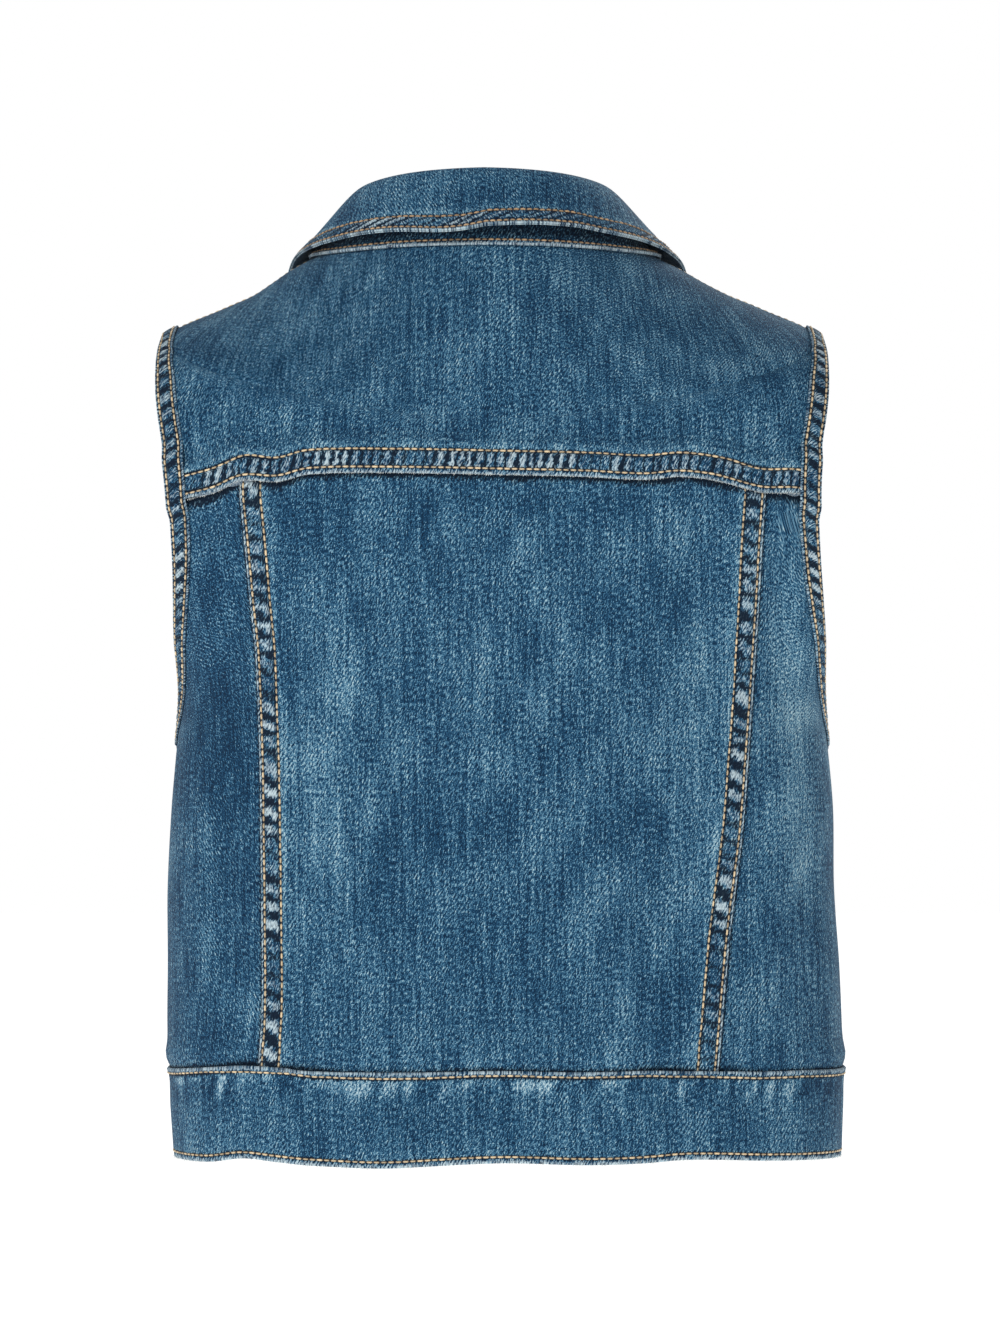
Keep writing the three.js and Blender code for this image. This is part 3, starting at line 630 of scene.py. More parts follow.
def cloth_object(name, points, faces, kinds, values, turns):
    a, b, c, d = (points[faces[:, i]] for i in range(4))
    swept = np.einsum("ij,ij->i", a, np.cross(b, c)) + np.einsum("ij,ij->i", a, np.cross(c, d))
    if swept.sum() < 0:
        faces = faces[:, ::-1]
    mesh = bpy.data.meshes.new(name)
    mesh.from_pydata((points * MM).tolist(), [], faces.tolist())
    mesh.polygons.foreach_set("material_index", kinds.astype(np.int32))
    mesh.polygons.foreach_set("use_smooth", np.ones(len(faces), bool))
    corner = faces.reshape(-1)
    u = values["u"][corner]
    if turns:
        face_u = u.reshape(-1, 4)
        girth = np.ptp(values["u"]) * turns / (turns - 1)
        crossing = (np.ptp(face_u, axis=1) > girth / 2)[:, None]
        lower = face_u < face_u.max(1, keepdims=True) - girth / 2
        u = np.where(crossing & lower, face_u + girth, face_u).reshape(-1)
    shift = len(cloth_pieces) * PIECE_SHIFT
    layer = mesh.uv_layers.new(name="cloth")
    uv = np.stack([u * MM + shift, values["v"][corner] * MM + shift], -1)
    layer.data.foreach_set("uv", uv.reshape(-1))
    for key in ("wear", "deep", "fade"):
        mesh.attributes.new(key, "FLOAT", "POINT").data.foreach_set("value", values[key])
    mesh.validate()
    cloth_pieces[name] = new_object(name, mesh)
    print(f"{name}: {2 * len(faces)} triangles")


def panel(name, angle, height, lift, thickness, mark, middle=None, closed=False):
    """mark(run, rise) gives the marks from the distances along the rows and up the columns"""
    point, normal = ground(angle, height)
    base = point + normal * lift[..., None]
    marks = mark(lengths(base, 1), lengths(base, 0))
    outer = base + normal * (thickness + marks.relief)[..., None]
    fade = spots(FADES, point, angle) + marks.fade
    column = angle.shape[1] // 2 if middle is None else middle
    shell(name, outer, base, marks, fade, column, closed=closed)


# %% [markdown]
# ## The panels of the back
# The centre panel laps over the two side panels with folded, double-stitched edges, and the yoke
# laps over all three. Rows of points stand close together at a seam, where the relief is fine,
# and about 2.3 mm apart elsewhere.

# %% Cloth and laps, in millimetres
CLOTH = 1.0
COLLAR_CLOTH = 1.8
BAND_CLOTH = 1.0
PLACKET_CLOTH = 1.2
WAISTBAND_CLOTH = 2.0
SEAM_GAP = 0.3
SEAM_LAP = 12
LAP_RAMP = 8
LAP_LIFT = CLOTH + SEAM_GAP
YOKE_LAP_LIFT = 2 * LAP_LIFT + 0.5
YOKE_CLEARANCE = 2
UNDER_LAP = SEAM_LAP - SEAM_GAP
WAISTBAND_LIFT = 2 * LAP_LIFT + 0.2
ARMHOLE_BAND_WIDTH = 10
ARMHOLE_BAND_LIFT = CLOTH + 0.3
SHOULDER_TIP_LIFT = 0.3
EDGE_STEPS = [0, 0.2, 0.5, 0.9, 1.3, 1.7, 2.1, 2.6, 3.4, 4.6, 6, 7.4, 8.6]
SEAM_STEPS = np.array([*EDGE_STEPS, 9.6, 10.1, 10.5, 10.9, 11.4, 12.2, 13.5, 15.2, 17.4, 20])
SEAM_ROWS = (EDGE_STITCH, EDGE_STITCH + GAUGE)


def spaced(start, end, count):
    return np.linspace(start, end, count + 1)


def round_spaced(start, end, count):
    return armhole_place(spaced(armhole_turn(start), armhole_turn(end), count))[1]


def seam_angle(side, height):
    x = -panel_seam.left(height) if side == "left" else panel_seam.right(height)
    return angle_at_x(x, height)


def columns_at(angles_at, height):
    """The angles of all the columns at one height, or at a grid of heights"""
    return [column for group in angles_at(np.asarray(height)) for column in group]


def by_column(angles_at, heights):
    """The angles of each column's own points, where heights is a grid of rows and columns"""
    return np.stack([column[:, i] for i, column in enumerate(columns_at(angles_at, heights))], 1)


# %% The flare at the waist
# The waistband's top edge is sewn to the panels, so just above it they stand out against the band.
# Under the laps and the button bands there is no room for that. Each such place is a middle and
# a half width, in degrees.
FLARE = 1.5
FLARE_HEIGHT = 14
FLARE_RAMP = 9
LAP_MIDDLE = 3.8
LAP_HALF = 5
CLOSURE_HALF = 13
NO_FLARE = [
    (float(seam_angle("left", np.array(WAIST_LEVEL))) + LAP_MIDDLE, LAP_HALF),
    (float(seam_angle("right", np.array(WAIST_LEVEL))) - LAP_MIDDLE, LAP_HALF),
    (90, CLOSURE_HALF),
]


def waist_flare(angle, height):
    clear = [np.abs((angle - middle + 180) % 360 - 180) - half for middle, half in NO_FLARE]
    above = height - waist_height(angle)
    return FLARE * smooth(np.min(clear, axis=0), 0, FLARE_RAMP) * (1 - smooth(above, 1, 1 + FLARE_HEIGHT))


# %% Rows up the back
ARMHOLE_ROWS = 46
WAIST_CURVE_TOP = -398
BODY_TOP = -246
BELOW_ARMHOLE = -243
ARMHOLE_MIDDLE_ROW = -136
PANEL_REFERENCE = -250.0


def back_heights(edge_angle):
    waist = waist_height(edge_angle)
    low = [waist - UNDER_LAP, waist - 5, waist]
    low += [mix(waist, WAIST_CURVE_TOP, part) for part in (0.08, 0.2, 0.36, 0.54, 0.76)]
    fixed = [*spaced(WAIST_CURVE_TOP, BODY_TOP, 66), BELOW_ARMHOLE]
    fixed += [*round_spaced(UNDERARM, ARMHOLE_MIDDLE_ROW, ARMHOLE_ROWS)]
    edge = yoke_height(edge_angle)
    high = [mix(ARMHOLE_MIDDLE_ROW, edge, part) for part in (0.1, 0.24, 0.4, 0.56, 0.7, 0.82, 0.92, 1)]
    high += [yoke_height(edge_angle, above) for above in (UNDER_LAP / 2, UNDER_LAP)]
    return np.stack([*low, *[np.full_like(edge_angle, height) for height in fixed], *high])


# %% Centre back panel
CENTRE_COLUMNS = 84


def centre_angles(height):
    left = seam_angle("left", height)
    right = seam_angle("right", height)
    left_part = [move_round(left, height, step) for step in SEAM_STEPS]
    right_part = [move_round(right, height, -step) for step in SEAM_STEPS[::-1]]
    inner = spaced(0, 1, CENTRE_COLUMNS)[1:-1]
    return left_part, [mix(left_part[-1], right_part[0], part) for part in inner], right_part


def edge_shades(marks, angles, heights, run, seed):
    """Painted shadow over unfaded cloth: an uneven dark strip under the yoke's thick edge, and painted shade
    along the waistband
    """
    below_yoke = (yoke_height(angles) - heights) * (1 + 0.35 * wobble(run / 7, seed))
    shade_below(marks, below_yoke, 1.2, 4.6)
    shade_below(marks, heights - waist_height(angles), 0.8)


centre_heights = back_heights(np.array(columns_at(centre_angles, PANEL_REFERENCE)))
centre_grid = by_column(centre_angles, centre_heights)
far_away = np.full(centre_grid.shape[1] - 2 * len(SEAM_STEPS), 99)
centre_run = np.concatenate([SEAM_STEPS, far_away, SEAM_STEPS[::-1]])
centre_lift = LAP_LIFT * (1 - smooth(centre_run, SEAM_LAP, SEAM_LAP + LAP_RAMP))


def centre_marks(run, rise):
    marks = marks_like(run.shape)
    add_marks(marks, seam_marks(run, rise, SEAM_ROWS, 10.2, 0.35, 11))
    add_marks(marks, seam_marks(run[:, -1:] - run, rise, SEAM_ROWS, 9.4, -0.35, 23))
    edge_shades(marks, centre_grid, centre_heights, run, 19)
    return marks


centre_lift = centre_lift + waist_flare(centre_grid, centre_heights)
panel("back_center_cloth", centre_grid, centre_heights, centre_lift, CLOTH, centre_marks)

# %% Side back panels
SIDE_STEPS = np.array([-11.7, -6, -2, -0.6, 0, 0.5, 1.1, 1.9, 3, 4.6, 7])
SIDE_COLUMNS = 26


def side_angles(side, height):
    edge = own_side(side, seam_angle(side, height))
    end = armhole_edge(height, "back") - SEAM_GAP * DEGREES_PER_MM
    inner = move_round(end, height, -ARMHOLE_BAND_WIDTH)
    near = [move_round(edge, height, step) for step in SIDE_STEPS]
    middle = [mix(near[-1], inner, part) for part in spaced(0, 1, SIDE_COLUMNS)[1:]]
    far = [mix(inner, end, part) for part in (0.3, 0.6, 0.85, 1)]
    return [[own_side(side, angle) for angle in group] for group in (near, middle, far)]


def back_side(side):
    angles_at = partial(side_angles, side)
    heights = back_heights(np.array(columns_at(angles_at, PANEL_REFERENCE)))
    angles = by_column(angles_at, heights)
    edge_column = len(SIDE_STEPS) - 1 - list(SIDE_STEPS[::-1]).index(0)

    def marks_of(run, rise):
        marks = marks_like(run.shape)
        gap = run - run[:, edge_column : edge_column + 1]
        # Painted shadow over unfaded cloth beside the centre panel's folded edge
        shade_below(marks, gap, 0.95, 2.0)
        ripple = 0.35 * np.exp(-np.maximum(gap, 0) / 4) * wobble(rise / 9, 31) * (gap > -1)
        marks.relief = marks.relief + ripple
        edge_shades(marks, angles, heights, run, 29)
        side_seam = run[:, -1:] - run + 30 * (heights > UNDERARM)
        add_marks(marks, seam_marks(side_seam, rise, (2.0,), 8, 0, 37, 0.4))
        return marks

    lift = waist_flare(angles, heights)
    panel(f"back_side_{side}_cloth", angles, heights, lift, CLOTH, marks_of, edge_column)


for side in SIDES:
    back_side(side)

# %% [markdown]
# ## The yoke
# One piece, cut on the fold, from the lapped seam across the back over both shoulders to the
# shoulder seams, which lie a little forward. Its lower edge carries the widest roped seam.

# %% Yoke
YOKE_ROWS = (2.8, 11.7)
YOKE_EDGE_STEPS = [0, 0.2, 0.5, 0.9, 1.4, 1.9, 2.4, 2.8, 3.2, 3.8, 4.8, 6.2, 7.6, 9]
YOKE_STEPS = [*YOKE_EDGE_STEPS, 10.2, 10.9, 11.3, 11.7, 12.1, 12.7, 14]
YOKE_COLUMNS = 210
YOKE_CURVE_START = -86
YOKE_REFERENCE = -100.0


def yoke_angle(height, part):
    end = armhole_edge(height, "back")
    return mix(mirrored(end), end, part)


yoke_parts = spaced(0, 1, YOKE_COLUMNS)
edge_angles = yoke_angle(np.array(YOKE_REFERENCE), yoke_parts)
lap_top = SEAM_LAP + YOKE_CLEARANCE
above_rows = [*YOKE_STEPS, *spaced(lap_top, lap_top + LAP_RAMP, 5)[1:]]
edge_rows = [yoke_height(edge_angles, above) for above in above_rows]
side_rows = round_spaced(YOKE_CURVE_START, SHOULDER_TIP, 24)[1:]
shares = (side_rows - YOKE_CURVE_START) / (SHOULDER_TIP - YOKE_CURVE_START)
upper = [mix(edge_rows[-1], SHOULDER_TIP, share) for share in shares]
fixed_rows = [*spaced(-34, -8, 14), *spaced(-6.5, NECK, 9)]
yoke_heights = np.stack([*edge_rows, *upper, *[np.full_like(edge_angles, row) for row in fixed_rows]])
yoke_grid = yoke_angle(yoke_heights, yoke_parts[None, :])
yoke_above = np.concatenate([above_rows, np.full(len(yoke_heights) - len(above_rows), 99)])
yoke_lift = YOKE_LAP_LIFT * (1 - smooth(yoke_above, lap_top, lap_top + LAP_RAMP))


def yoke_marks(run, rise):
    marks = marks_like(run.shape)
    add_marks(marks, seam_marks(rise, run, YOKE_ROWS, 5.2, -0.3, 41))
    over_seams = wobble(run / 23, 43)
    marks.relief = marks.relief + 0.25 * over_seams * (1 - smooth(rise, 10, 24))
    # Painted shade at the foot of the collar, along the neck edge
    neck_gap = rise[-1:] - rise
    shade_below(marks, neck_gap - 1, 0.7, 2.4)
    return marks


yoke_lift = np.broadcast_to(yoke_lift[:, None], yoke_grid.shape)
panel("yoke_cloth", yoke_grid, yoke_heights, yoke_lift, CLOTH, yoke_marks)

# %% [markdown]
# ## The fronts and button bands
# The photograph doesn't show the front, so it is finished plainly: two plain fronts, a doubled
# band down each edge, and buttons. Their seams have the same stitches as the back.

# %% Fronts
FRONT_COLUMNS = 58
PANEL_UNDER_PLACKET = 12
PLACKET_EDGE = 20
PLACKET_OVER = 18
PLACKET_UNDER_END = 10


def front_angles(side, height):
    """The left front is laid out on the right side, and its panel is turned over"""
    end = armhole_edge(height, "front") + SEAM_GAP * DEGREES_PER_MM
    start = front_angle_at_x(PANEL_UNDER_PLACKET, height)
    if side == "left":
        start = 180 - front_angle_at_x(-PANEL_UNDER_PLACKET, height)
    inner = move_round(end, height, ARMHOLE_BAND_WIDTH)
    middle = [mix(start, inner, part) for part in spaced(0, 1, FRONT_COLUMNS)]
    return [middle, [mix(inner, end, part) for part in (0.25, 0.5, 0.68, 0.8, 0.9, 1)]]


right_front_angles = partial(front_angles, "right")
front_waist = waist_height(np.array(columns_at(right_front_angles, PANEL_REFERENCE)))
front_rows = [*spaced(WAIST_CURVE_TOP, BODY_TOP, 56), BELOW_ARMHOLE]
front_rows += [*round_spaced(UNDERARM, SHOULDER_TIP, 72), *spaced(-34, NECK, 18)]
front_heights = np.stack(
    [
        front_waist - UNDER_LAP,
        front_waist,
        *[mix(front_waist, WAIST_CURVE_TOP, part) for part in (0.1, 0.3, 0.6)],
        *[np.full_like(front_waist, row) for row in front_rows],
    ]
)
front_grid = by_column(right_front_angles, front_heights)
left_front_grid = mirrored(by_column(partial(front_angles, "left"), front_heights))


def front_marks(run, rise):
    marks = marks_like(run.shape)
    from_end = run[:, -1:] - run
    side_seam = from_end + 40 * ((front_heights > UNDERARM) & (front_heights < SHOULDER_TIP))
    add_marks(marks, seam_marks(side_seam, rise, SEAM_ROWS, 9.0, 0.3, 53))
    # Painted shade beside the button band's edge and above the waistband
    shade_below(marks, run - (PLACKET_EDGE - PANEL_UNDER_PLACKET), 0.6, 2.2)
    shade_below(marks, front_heights - front_waist[None, :], 0.85)
    return marks


front_lift = waist_flare(front_grid, front_heights)
panel("front_right_cloth", front_grid, front_heights, front_lift, CLOTH, front_marks, 0)
panel("front_left_cloth", left_front_grid, front_heights, front_lift, CLOTH, front_marks, 0)

# %% Button bands
PLACKET_STEPS = [0, 0.3, 0.8, 1.4, 1.8, 2.2, 3, 4.6, 6.5]
PLACKET_ROW = 1.8


def placket(side):
    over = side == "right"
    lift = LAP_LIFT + PLACKET_CLOTH + SEAM_GAP if over else LAP_LIFT
    start, end = (PLACKET_EDGE, -PLACKET_OVER) if over else (PLACKET_UNDER_END, -PLACKET_EDGE)
    steps = np.array(PLACKET_STEPS)
    middle = spaced(start - steps[-1], end + steps[-1], 9)[1:-1]
    xs = np.concatenate([start - steps, middle, (end + steps)[::-1]])
    waist = float(waist_height(np.array(90.0)))
    bottom = waist + SEAM_GAP if over else waist - UNDER_LAP
    heights = np.concatenate([[bottom], spaced(bottom + 4, NECK, 190)])
    grid_height, grid_x = np.meshgrid(heights, xs, indexing="ij")
    angles = front_angle_at_x(grid_x, grid_height)

    def marks_of(run, rise):
        marks = marks_like(run.shape)
        add_marks(marks, seam_marks(run, rise, (PLACKET_ROW,), 8, 0, 61, 0.75))
        add_marks(marks, seam_marks(run[:, -1:] - run, rise, (PLACKET_ROW,), 8, 0, 67, 0.75))
        return marks

    lifts = np.full(angles.shape, lift)
    panel(f"placket_{side}_cloth", angles, grid_height, lifts, PLACKET_CLOTH, marks_of)


for side in SIDES:
    placket(side)

# %% [markdown]
# ## The waistband
# One straight doubled band from the closure round the back and to the closure again, with its
# right end on top. Its top edge is a pale ridge above a single row, and its folded hem is fuzzy.

# %% Waistband
WAISTBAND_MIDDLE = -430
WAISTBAND_END_RAMP = 45
CLOSURE_LIFT = WAISTBAND_CLOTH + SEAM_GAP
WAISTBAND_ROW = 2.7
HEM_ROW = 2.6
BAND_STEPS = np.array([0, 0.25, 0.6, 1, 1.5, 1.9, 2.3, 2.7, 3.1, 3.6, 4.6, 6.4, 9])

band_start = float(front_angle_at_x(PLACKET_UNDER_END, WAISTBAND_MIDDLE)) - 360
band_end = float(front_angle_at_x(-PLACKET_OVER, WAISTBAND_MIDDLE))
ramp_start = float(front_angle_at_x(WAISTBAND_END_RAMP, WAISTBAND_MIDDLE))
ramp_end = float(front_angle_at_x(PLACKET_EDGE + 4, WAISTBAND_MIDDLE))


def waistband_lift(angle):
    return WAISTBAND_LIFT + CLOSURE_LIFT * np.clip((angle - ramp_start) / (ramp_end - ramp_start), 0, 1)


band_angles = spaced(band_start, band_end, 400)
hem = hem_height(band_angles)
top = waist_height(band_angles)
band_low = [hem + step for step in BAND_STEPS]
band_high = [top - step for step in BAND_STEPS[::-1]]
band_middle = [mix(band_low[-1], band_high[0], part) for part in spaced(0, 1, 10)[1:-1]]
band_heights = np.stack([*band_low, *band_middle, *band_high])
band_grid = np.broadcast_to(band_angles, band_heights.shape)


def band_marks(run, rise):
    marks = marks_like(run.shape)
    ridge = rise[-1:] - rise
    add_marks(marks, seam_marks(ridge, run, (WAISTBAND_ROW,), 9, 0, 71, 0.9, 0.2))
    add_marks(marks, seam_marks(rise, run, (HEM_ROW,), 9, 0, 73, 1.0, 0.3))
    marks.wear = np.maximum(marks.wear, 0.42 * np.exp(-(((ridge - 1.0) / 0.8) ** 2)))
    faded_to = 7 + 5 * wobble(run / 11, 75)
    under_row = smooth(ridge, 3.2, 4.6) * (1 - smooth(ridge, faded_to, faded_to + 7))
    whisker = 0.65 * wobble((run + 0.45 * ridge) / 5.2, 77) + 0.5 * wobble((run + 0.2 * ridge) / 1.7, 78)
    marks.fade = marks.fade + 2.4 * under_row * (whisker + 0.12)
    marks.wear = np.maximum(marks.wear, 0.5 * under_row * np.clip(whisker * 1.6, 0, 1))
    marks.relief = marks.relief + 0.3 * under_row * whisker
    return marks


middle_column = int(np.argmin(np.abs(band_angles + 90)))
band_lift = waistband_lift(band_grid)
panel("waistband_cloth", band_grid, band_heights, band_lift, WAISTBAND_CLOTH, band_marks, middle_column)

# %% [markdown]
# ## The armhole bands
# A narrow band is stitched round each armhole with two close rows. It climbs over the lapped
# edge of the yoke, so its lift rises there.

# %% Armhole bands
ARMHOLE_STITCHES = (1.5, 8.3)
TIP_RAMP = 20
CLIMB = (-12, -3)
DESCENT = (SEAM_LAP + 8, SEAM_LAP + LAP_RAMP + 14)
INWARD_STEPS = [0.2, 0.5, 0.9, 1.3, 1.7, 2.1, 2.8, 4, 5.2, 6.4, 7.4, 7.9, 8.3, 8.7, 9.2, 9.7, 10]


def armhole_lift(angle, height):
    over_tip = SHOULDER_TIP_LIFT * smooth(height, SHOULDER_TIP - TIP_RAMP, SHOULDER_TIP)
    above = height - yoke_height(np.minimum(angle, 0))
    rise = smooth(above, *CLIMB) - smooth(above, *DESCENT)
    return ARMHOLE_BAND_LIFT + over_tip + YOKE_LAP_LIFT * np.where(angle > 0, 0, rise)


def armhole_band(side):
    turns = spaced(0, 360, 400)[:-1]
    inward, turn = np.meshgrid(INWARD_STEPS, turns, indexing="ij")
    angle, height = armhole_place(turn, inward)
    lift = armhole_lift(angle, height)

    def marks_of(run, rise):
        marks = marks_like(rise.shape)
        add_marks(marks, seam_marks(inward, run, ARMHOLE_STITCHES, 8.4, 0, 83, 0.8, 0))
        outer_row = (ARMHOLE_BAND_WIDTH - ARMHOLE_STITCHES[1],)
        add_marks(marks, seam_marks(ARMHOLE_BAND_WIDTH - inward, run, outer_row, 6.2, 0, 89, 0.7, 0))
        return marks

    own = own_side(side, angle)
    panel(f"armhole_band_{side}_cloth", own, height, lift, BAND_CLOTH, marks_of, 0, closed=True)


for side in SIDES:
    armhole_band(side)

# %% [markdown]
# ## The collar
# The stand rises from the neck seam and leans in. The fall turns over it on a soft roll, and
# its outer edge lies over the yoke and the fronts. Both are double, and the fall's rim shows two
# leaves with a line of painted shade in the dip between them.

# %% Collar stations
collar = curve_table(
    ["turn", "tuck", "lap", "lean_in", "rise", "edge_angle", "edge_height", "edge_lift"],
    [
        [0, 1.2, 1.7, 12, 34.5, 0, 6, 14],
        [30, 1.3, 1.7, 15, 34, 30, 5.6, 13],
        [60, 1.8, 1.7, 21, 33, 60, 3.8, 9],
        [90, 2.2, 1.8, 24, 31, 90, 0.5, 4.6],
        [112, 2.4, 1.9, 18, 27, 111, -6, 5.6],
        [132, 2.7, 1.5, 8, 22, 131, -15, 6.4],
        [152, 3.0, 1.35, 1, 15, 147, -27, 7.0],
        [160, 3.0, 1.4, 0, 13, 151, -31, 7.4],
        [167, 3.0, 4.5, 0, 11.5, 155, -35, 7.7],
        [174, 3.0, 4.6, 0, 10, 159, -39, 8.0],
    ],
)
COLLAR_END = 174
FOLD_RADIUS = 3.2
NECK_CENTRE_Y = 9
UP = np.array([0.0, 0.0, 1.0])
# A crumple of the collar's lower edge is its turn from the centre, its width and its rise.
CRUMPLES = [(16, 17, 1.0), (-13, 17, -1.1)]


def collar_station(turn):
    size = np.abs(turn)
    side = np.where(turn < 0, -1, 1)
    low = place(turn - 90, NECK - collar.tuck(size), collar.lap(size))
    base = place(turn - 90, np.full_like(turn, NECK), collar.lap(size))
    inward = unit(np.stack([body.middle(NECK) - base[:, 0], NECK_CENTRE_Y - base[:, 1], 0 * turn], -1))
    roll = base + inward * collar.lean_in(size)[:, None] + UP * collar.rise(size)[:, None]
    stand_top = roll + inward * FOLD_RADIUS - UP * FOLD_RADIUS
    crumple = sum(rise * np.exp(-(((turn - middle) / width) ** 2)) for middle, width, rise in CRUMPLES)
    edge_height = collar.edge_height(size) + crumple + 0.5 * wobble(turn / 19, 107)
    edge = place(side * collar.edge_angle(size) - 90, edge_height, collar.edge_lift(size))
    return SimpleNamespace(low=low, base=base, inward=inward, roll=roll, stand_top=stand_top, edge=edge)


def thickened(grid, thickness):
    along = np.gradient(grid, axis=1)
    up = np.gradient(grid, axis=0)
    return grid + unit(np.cross(along, up)) * thickness[..., None]


end_steps = np.array([0, 0.2, 0.5, 1, 1.6, 2.2, 3.2, 5, 7, 8.6, 9.4, 10.4, 12])
END_DEGREES_PER_MM = 0.75
end_turns = COLLAR_END - end_steps * END_DEGREES_PER_MM
collar_turns = np.concatenate([-end_turns, spaced(-end_turns[-1], end_turns[-1], 190)[1:-1], end_turns[::-1]])
stations = collar_station(collar_turns)

# %% Collar stand
stand_parts = np.array([0, 0.12, 0.3, 0.5, 0.75, 1])
stand_low = [mix(stations.low, stations.base, part) for part in stand_parts[:-1]]
stand_high = [mix(stations.base, stations.stand_top, part) for part in spaced(0, 1, 18)]
stand_grid = np.stack([*stand_low, *stand_high])
STAND_ROW = 2.2


def stand_marks(run, rise):
    marks = marks_like(run.shape)
    add_marks(marks, seam_marks(rise, run, (STAND_ROW,), 6, 0, 97))
    # Painted shadow of the fall over the stand above its row
    marks.deep = np.maximum(marks.deep, 0.72 * smooth(rise, 2.6, 5))
    return marks


marks = stand_marks(lengths(stand_grid, 1), lengths(stand_grid, 0))
stand_outer = thickened(stand_grid, COLLAR_CLOTH + marks.relief)
no_fade = np.zeros(stand_grid.shape[:2])
shell("collar_stand_cloth", stand_outer, stand_grid, marks, no_fade, stand_grid.shape[1] // 2)

# %% Collar fall
FALL_ROWS = (1.6, 9.0)
OUTER_PARTS = [1, 0.994, 0.985, 0.972, 0.958, 0.944, 0.93, 0.91]
EDGE_PARTS = np.array([*OUTER_PARTS, 0.88, 0.85, 0.82, 0.79, 0.765, 0.745, 0.73, 0.71])


def fall_profile(station):
    start = station.stand_top + UP * SEAM_GAP
    turn_over = station.roll + station.inward * FOLD_RADIUS - UP * 0.2
    over = station.roll - station.inward * FOLD_RADIUS * 2.2
    under = mix(station.roll, station.edge, 0.6) + station.inward * 1.5
    rows = []
    for t in spaced(0, 1, 7)[:-1]:
        rows.append(start * (1 - t) ** 2 + turn_over * 2 * t * (1 - t) + station.roll * t**2)
    for t in [*spaced(0, EDGE_PARTS[-1], 22)[:-1], *EDGE_PARTS[::-1]]:
        near = station.roll * (1 - t) ** 3 + over * 3 * t * (1 - t) ** 2
        rows.append(near + under * 3 * t**2 * (1 - t) + station.edge * t**3)
    return np.stack(rows)


fall_grid = fall_profile(stations)


def fall_marks(run, rise):
    marks = marks_like(run.shape)
    from_edge = rise[-1:] - rise
    add_marks(marks, seam_marks(from_edge, run, FALL_ROWS, 8.2, 0.1, 101))
    for gap in (run, run[:, -1:] - run):
        add_marks(marks, seam_marks(gap, rise, FALL_ROWS, 5.6, 0.35, 103, 0.9))
    return marks


marks = fall_marks(lengths(fall_grid, 1), lengths(fall_grid, 0))
fall_outer = thickened(fall_grid, -COLLAR_CLOTH - marks.relief)
fall_fade = marks.fade + 0.25 * np.exp(-(((lengths(fall_grid, 0) - 12) / 9) ** 2))
shell("collar_fall_cloth", fall_outer, fall_grid, marks, fall_fade, fall_grid.shape[1] // 2, DOUBLE_RIM)

# %% [markdown]
# ## Materials
# Denim is a twill of indigo warp over a white weft. Stonewashing rubs the indigo off the high
# points, so the eye sees pale dashes on blue, long vertical streaks where a warp yarn is thick,
# and slow clouds of fading. An image would repeat. Stretched noise on the cloth's own UV map,
# laid out in metres, gives the same look at any size. The real yarns are 0.4 mm apart, too fine
# for the picture, so the dashes are drawn 0.66 mm wide, and the twill's diagonal 1.7 mm apart.

# %% Colours and nodes
def linear(colour):
    channels = [int(colour[i : i + 2], 16) / 255 for i in (1, 3, 5)]
    return (*[c / 12.92 if c <= 0.04045 else ((c + 0.055) / 1.055) ** 2.4 for c in channels], 1.0)


def add(tree, kind, inputs=None, **settings):
    node = tree.nodes.new(kind)
    for name, value in settings.items():
        setattr(node, name, value)
    for name, value in (inputs or {}).items():
        if isinstance(value, bpy.types.NodeSocket):
            tree.links.new(value, node.inputs[name])
        else:
            node.inputs[name].default_value = value
    return node


def new_material(name):
    """The material, and the add function for its own tree"""
    material = bpy.data.materials.new(name)
    material.use_nodes = True
    material.node_tree.nodes.clear()
    return material, partial(add, material.node_tree)


# %% Denim
# Each pattern is its size across and along the warp in millimetres, its detail and its strength.
PATTERNS = {
    "dashes": (0.66, 2.0, 1.0, 1.16),
    "grain": (0.5, 0.6, 0.0, 0.66),
    "streaks": (1.2, 30.0, 2.0, 0.46),
    "slubs": (3.0, 80.0, 1.0, 0.20),
    "clouds": (24.0, 38.0, 2.0, 0.32),
}
TWILL_SHEAR = 0.35
TWILL_PITCH_MM = 1.7
TWILL_LEAN = (0.87, -0.5)


